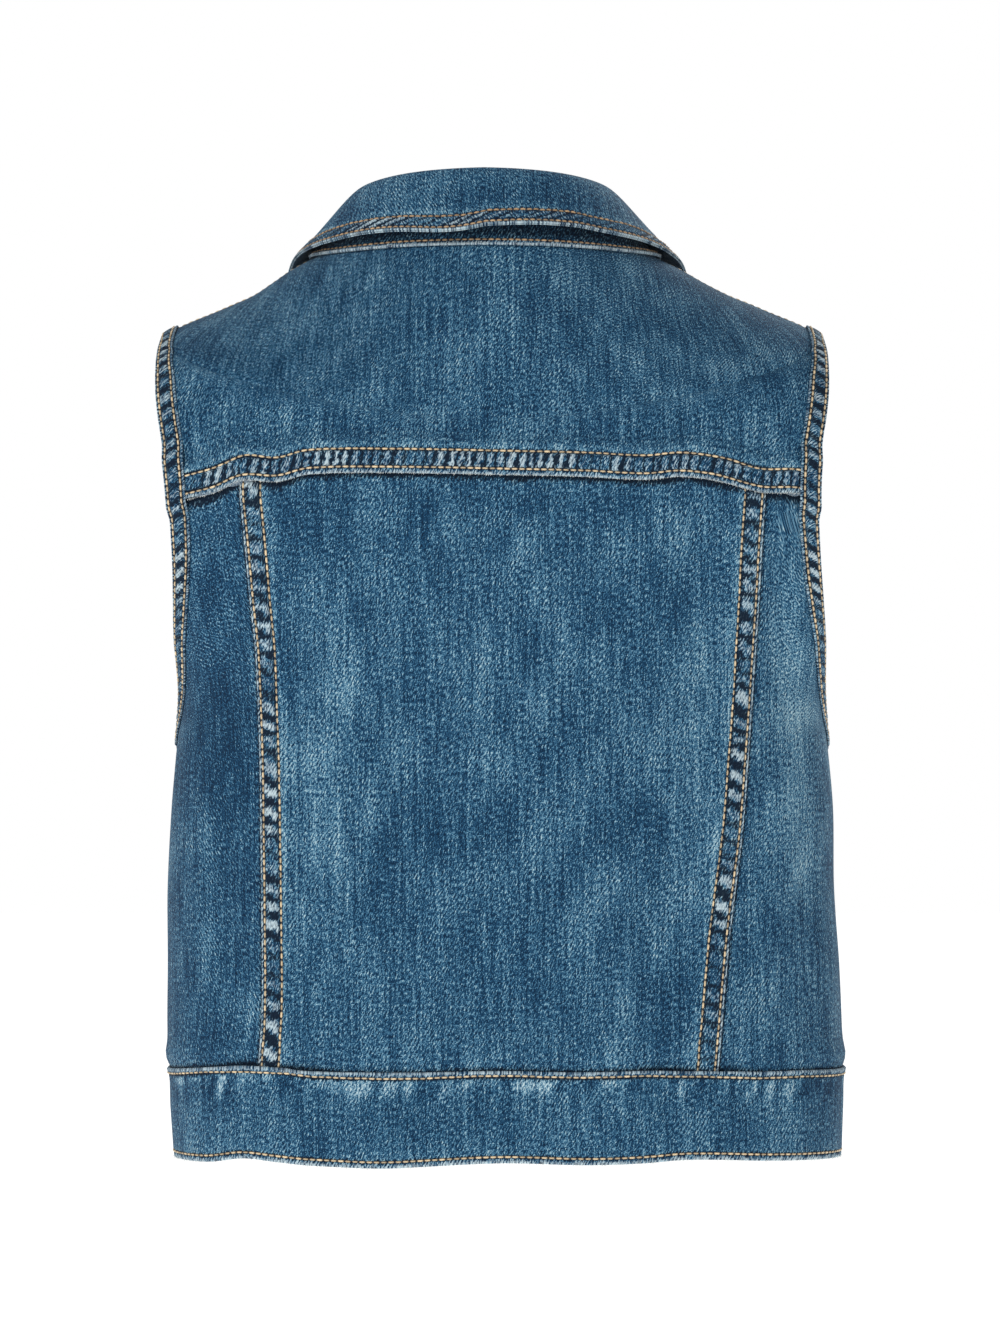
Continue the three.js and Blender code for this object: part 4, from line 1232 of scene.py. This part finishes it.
def denim(name, stops, wear_colour, deep_colour, contrast=1.0):
    """stops is the ramp from unfaded to bleached, and contrast scales the patterns' strength"""
    material, put = new_material(name)
    uv = put("ShaderNodeUVMap", uv_map="cloth").outputs["UV"]
    split = put("ShaderNodeSeparateXYZ", {"Vector": uv}).outputs
    shear = put("ShaderNodeMath", {0: split["Y"], 1: -TWILL_SHEAR, 2: split["X"]}, operation="MULTIPLY_ADD")
    leaning = put("ShaderNodeCombineXYZ", {"X": shear.outputs[0], "Y": split["Y"]}).outputs[0]
    noises = {}
    total = None
    for key, (width, length, detail, strength) in PATTERNS.items():
        scale = (1 / (width * MM), 1 / (length * MM), 1)
        source = leaning if key == "dashes" else uv
        vector = put("ShaderNodeVectorMath", {0: source, 1: scale}, operation="MULTIPLY").outputs[0]
        pattern = {"Vector": vector, "Scale": 1.0, "Detail": detail}
        noise = put("ShaderNodeTexNoise", pattern).outputs[0]
        noises[key] = noise
        gain = strength * contrast
        level = 0.5 - 0.5 * gain if total is None else -0.5 * gain
        scaled = put("ShaderNodeMath", {0: noise, 1: gain, 2: level}, operation="MULTIPLY_ADD").outputs[0]
        total = scaled if total is None else put("ShaderNodeMath", {0: total, 1: scaled}).outputs[0]
    # Twill lines show only in the paler clouds.
    turns = 2 * math.pi / (TWILL_PITCH_MM * MM)
    twill_way = (TWILL_LEAN[0] * turns, TWILL_LEAN[1] * turns, 0)
    phase = put("ShaderNodeVectorMath", {0: uv, 1: twill_way}, operation="DOT_PRODUCT").outputs["Value"]
    twill = put("ShaderNodeMath", {0: phase}, operation="SINE").outputs[0]
    cloud_range = {"Value": noises["clouds"], "From Min": 0.42, "From Max": 0.66, "To Max": 0.08}
    where = put("ShaderNodeMapRange", cloud_range).outputs[0]
    lines = put("ShaderNodeMath", {0: twill, 1: where}, operation="MULTIPLY").outputs[0]
    total = put("ShaderNodeMath", {0: total, 1: lines}).outputs[0]
    fade = put("ShaderNodeAttribute", attribute_name="fade").outputs["Fac"]
    total = put("ShaderNodeMath", {0: fade, 1: 0.1, 2: total}, operation="MULTIPLY_ADD").outputs[0]
    ramp = put("ShaderNodeValToRGB", {"Fac": total})
    elements = ramp.color_ramp.elements
    while len(elements) < len(stops):
        elements.new(0.5)
    for element, (position, colour) in zip(elements, stops):
        element.position = position
        element.color = linear(colour)
    # Deep-dyed places with their painted shade, and worn places, break up along the dashes and the twill.
    dash_range = {"Value": noises["dashes"], "From Min": 0.36, "From Max": 0.62}
    dash = put("ShaderNodeMapRange", dash_range).outputs[0]
    deep = put("ShaderNodeAttribute", attribute_name="deep").outputs["Fac"]
    grain = put("ShaderNodeMath", {0: twill, 1: 0.22, 2: dash}, operation="MULTIPLY_ADD").outputs[0]
    deep_level = put("ShaderNodeMath", {0: grain, 1: -0.4, 2: deep}, operation="MULTIPLY_ADD").outputs[0]
    deep_range = {"Value": deep_level, "From Min": 0.09, "From Max": 0.56, "To Max": 0.96}
    deep_part = put("ShaderNodeMapRange", deep_range).outputs[0]
    darkening = {0: deep_part, 6: ramp.outputs[0], 7: linear(deep_colour)}
    dark = put("ShaderNodeMix", darkening, data_type="RGBA").outputs[2]
    wear = put("ShaderNodeAttribute", attribute_name="wear").outputs["Fac"]
    wear_level = put("ShaderNodeMath", {0: grain, 1: 0.55, 2: wear}, operation="MULTIPLY_ADD").outputs[0]
    wear_range = {"Value": wear_level, "From Min": 0.68, "From Max": 1.36, "To Max": 0.9}
    wear_part = put("ShaderNodeMapRange", wear_range).outputs[0]
    wearing = {0: wear_part, 6: dark, 7: linear(wear_colour)}
    worn = put("ShaderNodeMix", wearing, data_type="RGBA").outputs[2]
    height = put("ShaderNodeMath", {0: noises["dashes"], 1: noises["streaks"]}).outputs[0]
    height = put("ShaderNodeMath", {0: twill, 1: 0.12, 2: height}, operation="MULTIPLY_ADD").outputs[0]
    bump = put("ShaderNodeBump", {"Strength": 0.55, "Distance": 0.0005, "Height": height}).outputs[0]
    values = {
        "Base Color": worn,
        "Roughness": 0.88,
        "Specular IOR Level": 0.12,
        "Sheen Weight": 0.04,
        "Sheen Roughness": 0.5,
        "Normal": bump,
    }
    shader = put("ShaderNodeBsdfPrincipled", values)
    put("ShaderNodeOutputMaterial", {"Surface": shader.outputs[0]})
    return material


# The face shows the warp: blue, with pale dashes where the stones rubbed the indigo off.
INDIGO = [(0.0, "#06172a"), (0.38, "#092c47"), (0.54, "#1f4b6b")]
DENIM_FACE = [*INDIGO, (0.7, "#55839c"), (0.95, "#abc4ca")]
# The inside shows the weft: greyish white, with blue only where the warp dips under it.
DENIM_BACK = [(0.0, "#3d566c"), (0.35, "#6c8194"), (0.6, "#97a6b2"), (1.0, "#ced5d8")]
# The last colour is the deep dye, and the painted shade in grooves, dips and under edges.
denim_face = denim("stonewashed indigo twill denim, face", DENIM_FACE, "#bacbd1", "#0a1828")
denim_back = denim("stonewashed indigo twill denim, weft side", DENIM_BACK, "#d5dad9", "#2b3c52", 0.8)
for piece in cloth_pieces.values():
    piece.data.materials.append(denim_face)
    piece.data.materials.append(denim_back)


# %% Topstitching thread, loose cotton fibre and brass
# Corespun polyester thread: a little shiny, tan on the body, redder on the collar. Each stitch has
# a painted highlight at its middle, where it stands proud, and painted brown shade where it dives into its
# hole.
def thread(name, dark, bright):
    material, put = new_material(name)
    part = put("ShaderNodeAttribute", attribute_name="part").outputs["Fac"]
    tone = put("ShaderNodeAttribute", attribute_name="tone").outputs["Fac"]
    # Painted highlight at each stitch's middle and painted shade at its ends, scaled by a random tone
    ends = put("ShaderNodeMath", {0: part, 1: 0.5}, operation="SUBTRACT").outputs[0]
    ends = put("ShaderNodeMath", {0: ends}, operation="ABSOLUTE").outputs[0]
    shine = put("ShaderNodeMapRange", {"Value": ends, "From Min": 0.4, "From Max": 0.2}).outputs[0]
    shine = put("ShaderNodeMath", {0: shine, 1: tone}, operation="MULTIPLY").outputs[0]
    colour = put("ShaderNodeMix", {0: shine, 6: linear(dark), 7: linear(bright)}, data_type="RGBA")
    values = {"Base Color": colour.outputs[2], "Roughness": 0.5, "Specular IOR Level": 0.4}
    shader = put("ShaderNodeBsdfPrincipled", values)
    put("ShaderNodeOutputMaterial", {"Surface": shader.outputs[0]})
    return material


# Each thread runs from its painted shade colour to its painted highlight colour.
tan_thread = thread("tan corespun polyester thread", "#271c14", "#dfc8a3")
rust_thread = thread("rust corespun polyester thread", "#2a1d16", "#b99a77")

# Raw cotton fibre: dull and nearly white, with a trace of the dye.
cotton, put = new_material("frayed cotton fibre")
fibre_tone = put("ShaderNodeAttribute", attribute_name="tone").outputs["Fac"]
fibre_mix = {0: fibre_tone, 6: linear("#7f93a3"), 7: linear("#dfe3e0")}
fibre_colour = put("ShaderNodeMix", fibre_mix, data_type="RGBA").outputs[2]
fibre_shader = put("ShaderNodeBsdfPrincipled", {"Base Color": fibre_colour, "Roughness": 0.95})
put("ShaderNodeOutputMaterial", {"Surface": fibre_shader.outputs[0]})

# Antique brass: stamped and lacquered, with an uneven brown patina and paler, smoother patches.
brass, put = new_material("antique stamped brass")
speckle_values = {"Vector": put("ShaderNodeTexCoord").outputs["Object"], "Scale": 900.0, "Detail": 3.0}
speckle = put("ShaderNodeTexNoise", speckle_values).outputs[0]
patina = put("ShaderNodeMapRange", {"Value": speckle, "From Min": 0.38, "From Max": 0.64}).outputs[0]
patina_mix = {0: patina, 6: linear("#5f503b"), 7: linear("#816c4c")}
patina_colour = put("ShaderNodeMix", patina_mix, data_type="RGBA").outputs[2]
patina_rough = put("ShaderNodeMapRange", {"Value": patina, "To Min": 0.5, "To Max": 0.38}).outputs[0]
brass_values = {"Base Color": patina_colour, "Metallic": 1.0, "Roughness": patina_rough}
brass_shader = put("ShaderNodeBsdfPrincipled", brass_values)
put("ShaderNodeOutputMaterial", {"Surface": brass_shader.outputs[0]})
print("Materials:", [material.name for material in bpy.data.materials])

# %% [markdown]
# ## Topstitching
# A row of lockstitches is one small arc of thread, repeated along a path every 3.7 mm and dipping
# into the cloth at both ends. Geometry Nodes resample each path by the stitch spacing and turn
# an arc to the path and to the cloth. The thread is drawn 1.05 mm wide, coarser than the real
# 0.6 mm, because it would vanish in the picture.

# %% The stitch tree
def new_tree(name, sizes):
    tree = bpy.data.node_groups.new(name, "GeometryNodeTree")
    tree.interface.new_socket(name="Geometry", in_out="INPUT", socket_type="NodeSocketGeometry")
    for key, value in sizes.items():
        kind = "NodeSocketInt" if isinstance(value, int) else "NodeSocketFloat"
        tree.interface.new_socket(name=key, in_out="INPUT", socket_type=kind).default_value = value
    tree.interface.new_socket(name="Material", in_out="INPUT", socket_type="NodeSocketMaterial")
    tree.interface.new_socket(name="Geometry", in_out="OUTPUT", socket_type="NodeSocketGeometry")
    put = partial(add, tree)
    return tree, put, put("NodeGroupInput").outputs


def named_vector(put, name):
    node = put("GeometryNodeInputNamedAttribute", {"Name": name}, data_type="FLOAT_VECTOR")
    return next(socket for socket in node.outputs if socket.enabled and socket.name == "Attribute")


def random_value(tree, low, high, seed, kind="FLOAT"):
    node = add(tree, "FunctionNodeRandomValue", data_type=kind)
    inputs = [socket for socket in node.inputs if socket.enabled]
    for socket, value in ((inputs[0], low), (inputs[1], high)):
        if isinstance(value, bpy.types.NodeSocket):
            tree.links.new(value, socket)
        else:
            socket.default_value = value
    tree.links.new(seed, node.inputs["Seed"])
    return next(socket for socket in node.outputs if socket.enabled)


def evenly_along(put, given, spacing):
    """Points at an even spacing along the edges of the given mesh"""
    path = put("GeometryNodeMeshToCurve", {"Mesh": given["Geometry"]}).outputs[0]
    even = {"Curve": path, "Length": given[spacing]}
    return put("GeometryNodeResampleCurve", even, mode="LENGTH").outputs[0]


def finish_tree(put, instances, tone, material):
    store = {"Geometry": instances, "Name": "tone", "Value": tone}
    toned = put("GeometryNodeStoreNamedAttribute", store, domain="INSTANCE", data_type="FLOAT")
    real = put("GeometryNodeRealizeInstances", {"Geometry": toned.outputs[0]}).outputs[0]
    smoothed = put("GeometryNodeSetShadeSmooth", {"Geometry": real}).outputs[0]
    finished = put("GeometryNodeSetMaterial", {"Geometry": smoothed, "Material": material}).outputs[0]
    put("NodeGroupOutput", {"Geometry": finished})


def stitch_tree():
    sizes = {"Stitch spacing": 0.0037, "Stitch length": 0.0035, "Thread width": 0.00105}
    tree, put, given = new_tree("Topstitch row", {**sizes, "Turn": 0.0, "Seed": 7})
    points = evenly_along(put, given, "Stitch spacing")
    tangent = put("GeometryNodeInputTangent").outputs[0]
    turned = put("FunctionNodeAlignRotationToVector", {"Vector": tangent}, axis="X").outputs[0]
    up = {"Rotation": turned, "Vector": named_vector(put, "surface_normal")}
    turned = put("FunctionNodeAlignRotationToVector", up, axis="Z", pivot_axis="X").outputs[0]
    quarter = {"Axis": (0, 0, 1), "Angle": given["Turn"]}
    across_path = put("FunctionNodeAxisAngleToRotation", quarter).outputs[0]
    spin = {"Rotation": turned, "Rotate By": across_path}
    turned = put("FunctionNodeRotateRotation", spin, rotation_space="LOCAL").outputs[0]
    half = put("ShaderNodeMath", {0: given["Stitch length"], 1: 0.5}, operation="MULTIPLY").outputs[0]
    back = put("ShaderNodeMath", {0: half, 1: -1.0}, operation="MULTIPLY").outputs[0]
    dip = put("ShaderNodeMath", {0: given["Thread width"], 1: -0.55}, operation="MULTIPLY").outputs[0]
    start = put("ShaderNodeCombineXYZ", {"X": back, "Z": dip}).outputs[0]
    crown = put("ShaderNodeMath", {0: given["Thread width"], 1: 0.75}, operation="MULTIPLY").outputs[0]
    middle = put("ShaderNodeCombineXYZ", {"Z": crown}).outputs[0]
    end = put("ShaderNodeCombineXYZ", {"X": half, "Z": dip}).outputs[0]
    arc = {"Resolution": 4, "Start": start, "Middle": middle, "End": end}
    arc = put("GeometryNodeCurveQuadraticBezier", arc).outputs[0]
    factor = put("GeometryNodeSplineParameter").outputs["Factor"]
    share = {"Geometry": arc, "Name": "part", "Value": factor}
    arc = put("GeometryNodeStoreNamedAttribute", share).outputs[0]
    radius = put("ShaderNodeMath", {0: given["Thread width"], 1: 0.5}, operation="MULTIPLY").outputs[0]
    section = put("GeometryNodeCurvePrimitiveCircle", {"Resolution": 5, "Radius": radius}).outputs[0]
    tube = {"Curve": arc, "Profile Curve": section, "Fill Caps": True}
    tube = put("GeometryNodeCurveToMesh", tube).outputs[0]
    size = random_value(tree, 0.92, 1.06, given["Seed"])
    laid = {"Points": points, "Instance": tube, "Rotation": turned, "Scale": size}
    laid = put("GeometryNodeInstanceOnPoints", laid).outputs[0]
    finish_tree(put, laid, random_value(tree, 0.5, 1.0, given["Seed"]), given["Material"])
    return tree


# %% Paths, and growing a tree along them
collected = {}


def path_mesh(name, rows):
    points = np.concatenate([row[0] for row in rows]) * MM
    edges = []
    start = 0
    for row in rows:
        count = len(row[0])
        edges += [(start + i, start + i + 1) for i in range(count - 1)]
        start += count
    mesh = bpy.data.meshes.new(name)
    mesh.from_pydata(points.tolist(), edges, [])
    for index, key in ((1, "surface_normal"), (2, "edge_out")):
        if len(rows[0]) > index:
            vectors = np.concatenate([row[index] for row in rows]).astype(np.float32)
            mesh.attributes.new(key, "FLOAT_VECTOR", "POINT").data.foreach_set("vector", vectors.reshape(-1))
    return mesh


def grow(name, rows, tree, material, **sizes):
    obj = new_object(name, path_mesh(name + "_path", rows))
    modifier = obj.modifiers.new("rows", "NODES")
    modifier.node_group = tree
    sockets = {item.name: item.identifier for item in tree.interface.items_tree if item.in_out == "INPUT"}
    modifier[sockets["Material"]] = material
    for key, value in sizes.items():
        modifier[sockets[key.replace("_", " ")]] = value
    graph = bpy.context.evaluated_depsgraph_get()
    grown = obj.evaluated_get(graph)
    made = bpy.data.meshes.new_from_object(grown, preserve_all_data_layers=True, depsgraph=graph)
    obj.modifiers.remove(modifier)
    obj.data = made
    made.name = name
    triangles = sum(len(polygon.vertices) - 2 for polygon in made.polygons)
    print(f"{name}: {triangles} triangles")
    collected[name] = obj


# %% Rows of stitches on the body
THREAD_SEAT = -0.1
SEAM_TOP = -110.0
YOKE_EDGE_LEVEL = -108.0


def row_at(angle, height, lift):
    point, normal = ground(angle, height)
    return point + normal * np.asarray(lift + THREAD_SEAT)[..., None], normal


def seam_row(side, offset):
    start = float(waist_height(seam_angle(side, np.array(WAIST_LEVEL)))) - 3
    end = float(yoke_height(seam_angle(side, np.array(SEAM_TOP)))) + 3
    height = spaced(start, end, 170)
    angle = move_round(seam_angle(side, height), height, offset if side == "left" else -offset)
    return row_at(angle, height, LAP_LIFT + CLOTH)


yoke_edge_end = armhole_edge(np.array(YOKE_EDGE_LEVEL), "back")
yoke_row_end = float(move_round(yoke_edge_end, YOKE_EDGE_LEVEL, -ARMHOLE_BAND_WIDTH))
yoke_row_angles = spaced(mirrored(yoke_row_end), yoke_row_end, 240)


def yoke_row(above):
    return row_at(yoke_row_angles, yoke_height(yoke_row_angles, above), YOKE_LAP_LIFT + CLOTH)


def armhole_row(side, inward):
    turn = spaced(0, 360, 300)
    angle, height = armhole_place(turn, inward)
    return row_at(own_side(side, angle), height, armhole_lift(angle, height) + BAND_CLOTH)


def side_seam_row(side, offset):
    height = spaced(-413, UNDERARM - ARMHOLE_BAND_WIDTH, 90)
    angle = move_round(np.full_like(height, SIDE_SEAM_ANGLE + 0.1), height, offset)
    own = own_side(side, angle)
    return row_at(own, height, CLOTH + waist_flare(own, height))


def shoulder_row(side, offset):
    height = spaced(SHOULDER_TIP + 2.5, 2, 60)
    angle = move_round(np.full_like(height, SHOULDER_SEAM_ANGLE), height, -offset)
    return row_at(own_side(side, angle), height, CLOTH)


def waistband_row(height):
    return row_at(band_angles, height, waistband_lift(band_angles) + WAISTBAND_CLOTH)


def placket_row(x):
    height = spaced(float(waist_height(np.array(90.0))) + 2, NECK - 2, 200)
    return row_at(front_angle_at_x(x, height), height, LAP_LIFT + 2 * PLACKET_CLOTH + SEAM_GAP)


stitches = stitch_tree()
close_stitch = {"Stitch_spacing": 0.0034, "Stitch_length": 0.0032}
grow("topstitch_panels", [seam_row(side, row) for side in SIDES for row in SEAM_ROWS], stitches, tan_thread)
grow("topstitch_yoke", [yoke_row(above) for above in YOKE_ROWS], stitches, tan_thread)
armhole_rows = [armhole_row(side, row) for side in SIDES for row in ARMHOLE_STITCHES]
grow("topstitch_armholes", armhole_rows, stitches, tan_thread, **close_stitch)
waist_rows = [waistband_row(top - WAISTBAND_ROW), waistband_row(hem + HEM_ROW)]
grow("topstitch_waistband", waist_rows, stitches, tan_thread)
front_seams = []
for seam in (side_seam_row, shoulder_row):
    front_seams += [seam(side, row) for side in SIDES for row in SEAM_ROWS]
front_seams += [placket_row(x) for x in (PLACKET_EDGE - PLACKET_ROW, PLACKET_ROW - PLACKET_OVER)]
grow("topstitch_fronts", front_seams, stitches, tan_thread)


# %% Rows of stitches on the collar
def grid_row(outer, normal, gap, axis, from_end):
    """The line that lies gap millimetres in from one side of a grid, measured on the cloth"""
    if axis == 1:
        outer = outer.swapaxes(0, 1)
        normal = normal.swapaxes(0, 1)
    if from_end:
        outer = outer[::-1]
        normal = normal[::-1]
    run = lengths(outer, 0)
    columns = range(outer.shape[1])
    points = [[np.interp(gap, run[:, i], outer[:, i, k]) for k in range(3)] for i in columns]
    normals = [[np.interp(gap, run[:, i], normal[:, i, k]) for k in range(3)] for i in columns]
    return np.array(points), unit(np.array(normals))


COLLAR_THREAD_RISE = 0.2
END_ROW_SKIP = 8


def raised(row, skip=0):
    """A row without the points at its two ends, lifted on to the cloth"""
    points, normals = [part[skip : len(part) - skip] for part in row]
    return points + normals * COLLAR_THREAD_RISE, normals


stand_side = unit(stand_outer - stand_grid)
fall_side = unit(fall_outer - fall_grid)
collar_rows = [raised(grid_row(stand_outer, stand_side, STAND_ROW, 0, False))]
for offset in FALL_ROWS:
    collar_rows.append(raised(grid_row(fall_outer, fall_side, offset, 0, True), int(offset * 0.8)))
    for from_end in (False, True):
        collar_rows.append(raised(grid_row(fall_outer, fall_side, offset, 1, from_end), END_ROW_SKIP))
grow("topstitch_collar", collar_rows, stitches, rust_thread, **close_stitch)

# %% [markdown]
# ## Buttons and buttonholes
# A jeans button is a stamped cap on a shank: a raised rim, a sunk ring and a plain low dome. It is
# turned from a section here, which is how its tool is cut. A buttonhole is a row of close short
# stitches round a slot, so the stitch tree lays it with its stitches turned across the path.

# %% Buttons
BUTTON_RADIUS = 8.5
BUTTON_HEIGHT = 3.4
BUTTON_SEGMENTS = 48
BUTTON_LEVELS = [-98, -161, -224, -287, -350]
WAISTBAND_BUTTON_LEVEL = -434
# Each point of the section is a share of the radius and a share of the height. The two poles
# close it.
BUTTON_SHANK = [(0.70, 0), (0.72, 0.36), (0.9, 0.42), (0.98, 0.5), (1, 0.62), (0.98, 0.76)]
BUTTON_RIM = [(0.92, 0.88), (0.84, 0.94), (0.77, 0.9), (0.72, 0.76), (0.66, 0.7)]
BUTTON_DOME = [(0.6, 0.72), (0.5, 0.84), (0.34, 0.94), (0.16, 0.99)]
BUTTON_SECTION = BUTTON_SHANK + BUTTON_RIM + BUTTON_DOME


def front_height(z):
    return float(height_of_edge(lambda x: z + 0 * x, np.array(90.0), z))


def button(name, height, lift):
    centre, normal = ground(np.array(90.0), np.array(float(height)))
    seat = centre + normal * lift
    side = unit(np.cross(normal, UP))
    up = np.cross(side, normal)
    turns = np.radians(spaced(0, 360, BUTTON_SEGMENTS)[:-1])
    ring = np.cos(turns)[:, None] * side + np.sin(turns)[:, None] * up
    points = []
    for radius, rise in BUTTON_SECTION:
        points.append(seat + ring * radius * BUTTON_RADIUS + normal * rise * BUTTON_HEIGHT)
    count = len(points) * BUTTON_SEGMENTS
    last = count - BUTTON_SEGMENTS
    points = np.concatenate([*points, [seat], [seat + normal * BUTTON_HEIGHT]])
    faces = grid_faces(len(BUTTON_SECTION), BUTTON_SEGMENTS, True)[:, ::-1].tolist()
    for i in range(BUTTON_SEGMENTS):
        after = (i + 1) % BUTTON_SEGMENTS
        faces += [(i, after, count), (last + after, last + i, count + 1)]
    mesh = bpy.data.meshes.new(name)
    mesh.from_pydata((points * MM).tolist(), [], faces)
    mesh.polygons.foreach_set("use_smooth", np.ones(len(faces), bool))
    mesh.materials.append(brass)
    return new_object(name, mesh)


placket_face = LAP_LIFT + 2 * PLACKET_CLOTH + 2 * SEAM_GAP
waistband_face = WAISTBAND_LIFT + CLOSURE_LIFT + WAISTBAND_CLOTH + SEAM_GAP
seats = [(front_height(level), placket_face) for level in BUTTON_LEVELS]
seats.append((WAISTBAND_BUTTON_LEVEL, waistband_face))
for number, (height, lift) in enumerate(seats, 1):
    piece = button(f"shank_button_{number}", height, lift)
    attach(piece, "root")
    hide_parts(f"button_{number}")
print("Buttons:", len(seats))

# %% Buttonholes
HOLE_LENGTH = 19
HOLE_HALF_WIDTH = 1.3
HOLE_PAST_SHANK = 2.5
HOLE_SQUARENESS = 0.5


def buttonhole(height, lift):
    turns = np.radians(spaced(0, 360, 60))
    shank_x = plain_body(np.array(90.0), np.array(float(height)))[0]
    centre_x = shank_x + HOLE_LENGTH / 2 - HOLE_PAST_SHANK
    reached = np.sign(np.cos(turns)) * np.abs(np.cos(turns)) ** HOLE_SQUARENESS
    x = centre_x + (HOLE_LENGTH / 2) * reached
    heights = height + HOLE_HALF_WIDTH * np.sin(turns)
    return row_at(front_angle_at_x(x, heights), heights, lift)


holes = [buttonhole(height, lift - SEAM_GAP) for height, lift in seats]
hole_stitch = {"Stitch_spacing": 0.0009, "Stitch_length": 0.0024, "Thread_width": 0.0008}
grow("buttonholes", holes, stitches, tan_thread, Turn=math.pi / 2, **hole_stitch)

# %% [markdown]
# ## Frayed edges
# The stones rub the folded edges until short cotton fibres stand out, most of all at the hem.
# Hair particles would be lost in the export, so a second tree lays thin three-sided cones along
# the edges, each with its own lean and length.

# %% The fringe tree
def fibre_tree():
    sizes = {"Fibre spacing": 0.0004, "Fibre length": 0.0016, "Fibre width": 0.00022}
    tree, put, given = new_tree("Frayed edge", {**sizes, "Lean": 0.8, "Seed": 3})
    points = evenly_along(put, given, "Fibre spacing")
    spike = {"Radius Bottom": given["Fibre width"], "Depth": given["Fibre length"]}
    cone = put("GeometryNodeMeshCone", {"Vertices": 3, "Side Segments": 1, **spike}).outputs["Mesh"]
    lean = random_value(tree, (-1, -1, -1), (1, 1, 1), given["Seed"], "FLOAT_VECTOR")
    lean = put("ShaderNodeVectorMath", {0: lean, "Scale": given["Lean"]}, operation="SCALE").outputs[0]
    way = put("ShaderNodeVectorMath", {0: lean, 1: named_vector(put, "edge_out")}).outputs[0]
    turned = put("FunctionNodeAlignRotationToVector", {"Vector": way}, axis="Z").outputs[0]
    size = random_value(tree, 0.3, 1.1, given["Seed"])
    laid = {"Points": points, "Instance": cone, "Rotation": turned, "Scale": size}
    laid = put("GeometryNodeInstanceOnPoints", laid).outputs[0]
    finish_tree(put, laid, random_value(tree, 0.0, 1.0, given["Seed"]), given["Material"])
    return tree


# %% Fringes at the hem, the yoke and the collar
DOWN = -UP


def edge_row(angle, height, lift):
    point, normal = ground(angle, height)
    return point + normal * np.asarray(lift)[..., None], normal, np.broadcast_to(DOWN, point.shape)


fibres = fibre_tree()
hem_edges = [edge_row(band_angles, hem, waistband_lift(band_angles) + part) for part in (0.5, 1.5)]
grow("frayed_hem", hem_edges, fibres, cotton, Fibre_length=0.0019)
yoke_edge = edge_row(yoke_row_angles, yoke_height(yoke_row_angles), YOKE_LAP_LIFT + CLOTH)
grow("frayed_yoke_edge", [yoke_edge], fibres, cotton, Fibre_length=0.0012)
stand_edge = (stand_outer[0], stand_side[0], np.broadcast_to(DOWN, stand_outer[0].shape))
grow("frayed_collar_seam", [stand_edge], fibres, cotton, Fibre_length=0.0012)

for name, piece in collected.items():
    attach(piece, "root")

# %% [markdown]
# ## Ride and replace
# Each shell stands for its CAD node: it rides on the root, and the node is hidden. The table gives each cut's
# flat size, and only its node name is read.

# %% Cut sizes, in millimetres: width, length and the part of that rectangle that is cloth
CUTS = {
    "yoke_back": (402, 176, 0.76, "draped"),
    "back_center": (266, 326, 0.94, "hung"),
    "back_side_left": (118, 326, 0.79, "hung"),
    "back_side_right": (126, 326, 0.76, "hung"),
    "front_right": (206, 424, 0.83, "hung"),
    "front_left": (206, 424, 0.83, "hung"),
    "placket_left": (32, 350, 1.0, "hung"),
    "placket_right": (40, 342, 1.0, "hung"),
    "waistband": (866, 51, 0.99, "hung"),
    "collar_stand": (470, 42, 0.86, "folded"),
    "collar_fall": (560, 68, 0.95, "folded"),
    "armhole_band_left": (575, 11, 1.0, "hung"),
    "armhole_band_right": (575, 11, 1.0, "hung"),
}


for node, (width, length, share, held) in CUTS.items():
    name = node.replace("yoke_back", "yoke") + "_cloth"
    piece = cloth_pieces[name]
    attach(piece, "root")
    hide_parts(node)

# %% [markdown]
# ## Studio
# The cut-out in the photograph is on plain white, lit softly and a little from above. A white
# floor lies below the hem, the sky is a soft white, and one wide lamp on each side gives the
# seams their shading. The light is a little stronger from the back, which the picture shows.

# %% Floor, sky and lamps
FLOOR_LEVEL = -0.8
FLOOR_HALF = 14.0
floor_corners = [(x * FLOOR_HALF, y * FLOOR_HALF) for x, y in ((-1, -1), (1, -1), (1, 1), (-1, 1))]
floor_mesh = bpy.data.meshes.new("floor")
floor_mesh.from_pydata([(x, y, FLOOR_LEVEL) for x, y in floor_corners], [], [(0, 1, 2, 3)])
floor = new_object("floor", floor_mesh)
paper, put = new_material("matt white studio paper")
paper_values = {
    "Base Color": linear("#f6f6f4"),
    "Roughness": 0.95,
    "Specular IOR Level": 0.0,
    "Emission Color": (1, 1, 1, 1),
    "Emission Strength": 0.75,
}
paper_shader = put("ShaderNodeBsdfPrincipled", paper_values)
put("ShaderNodeOutputMaterial", {"Surface": paper_shader.outputs[0]})
floor_mesh.materials.append(paper)

SKY_LIGHT = 0.48
world = bpy.data.worlds.new("soft white studio")
bpy.context.scene.world = world
world.use_nodes = True
world.node_tree.nodes.clear()
put = partial(add, world.node_tree)
seen = put("ShaderNodeBackground", {"Color": (1, 1, 1, 1), "Strength": 1.0}).outputs[0]
lit = put("ShaderNodeBackground", {"Color": (1, 1, 1, 1), "Strength": SKY_LIGHT}).outputs[0]
ray = put("ShaderNodeLightPath").outputs["Is Camera Ray"]
sky = put("ShaderNodeMixShader", {0: ray, 1: lit, 2: seen}).outputs[0]
put("ShaderNodeOutputWorld", {"Surface": sky})


LAMP_AIM = np.array([0, 0, -0.2])


def lamp(name, position, power, size):
    data = bpy.data.lights.new(name, "AREA")
    data.energy = power
    data.size = size
    obj = new_object(name, data)
    obj.location = position
    way = LAMP_AIM - np.array(position)
    turn_up = math.acos(-way[2] / np.linalg.norm(way))
    obj.rotation_euler = (turn_up, 0, math.atan2(way[1], way[0]) - math.pi / 2)


lamp("key from behind the vest", (-1.3, -2.3, 1.5), 40, 1.0)
lamp("fill from the front", (1.2, 2.4, 1.2), 34, 1.4)
bpy.context.scene.view_settings.view_transform = "Standard"
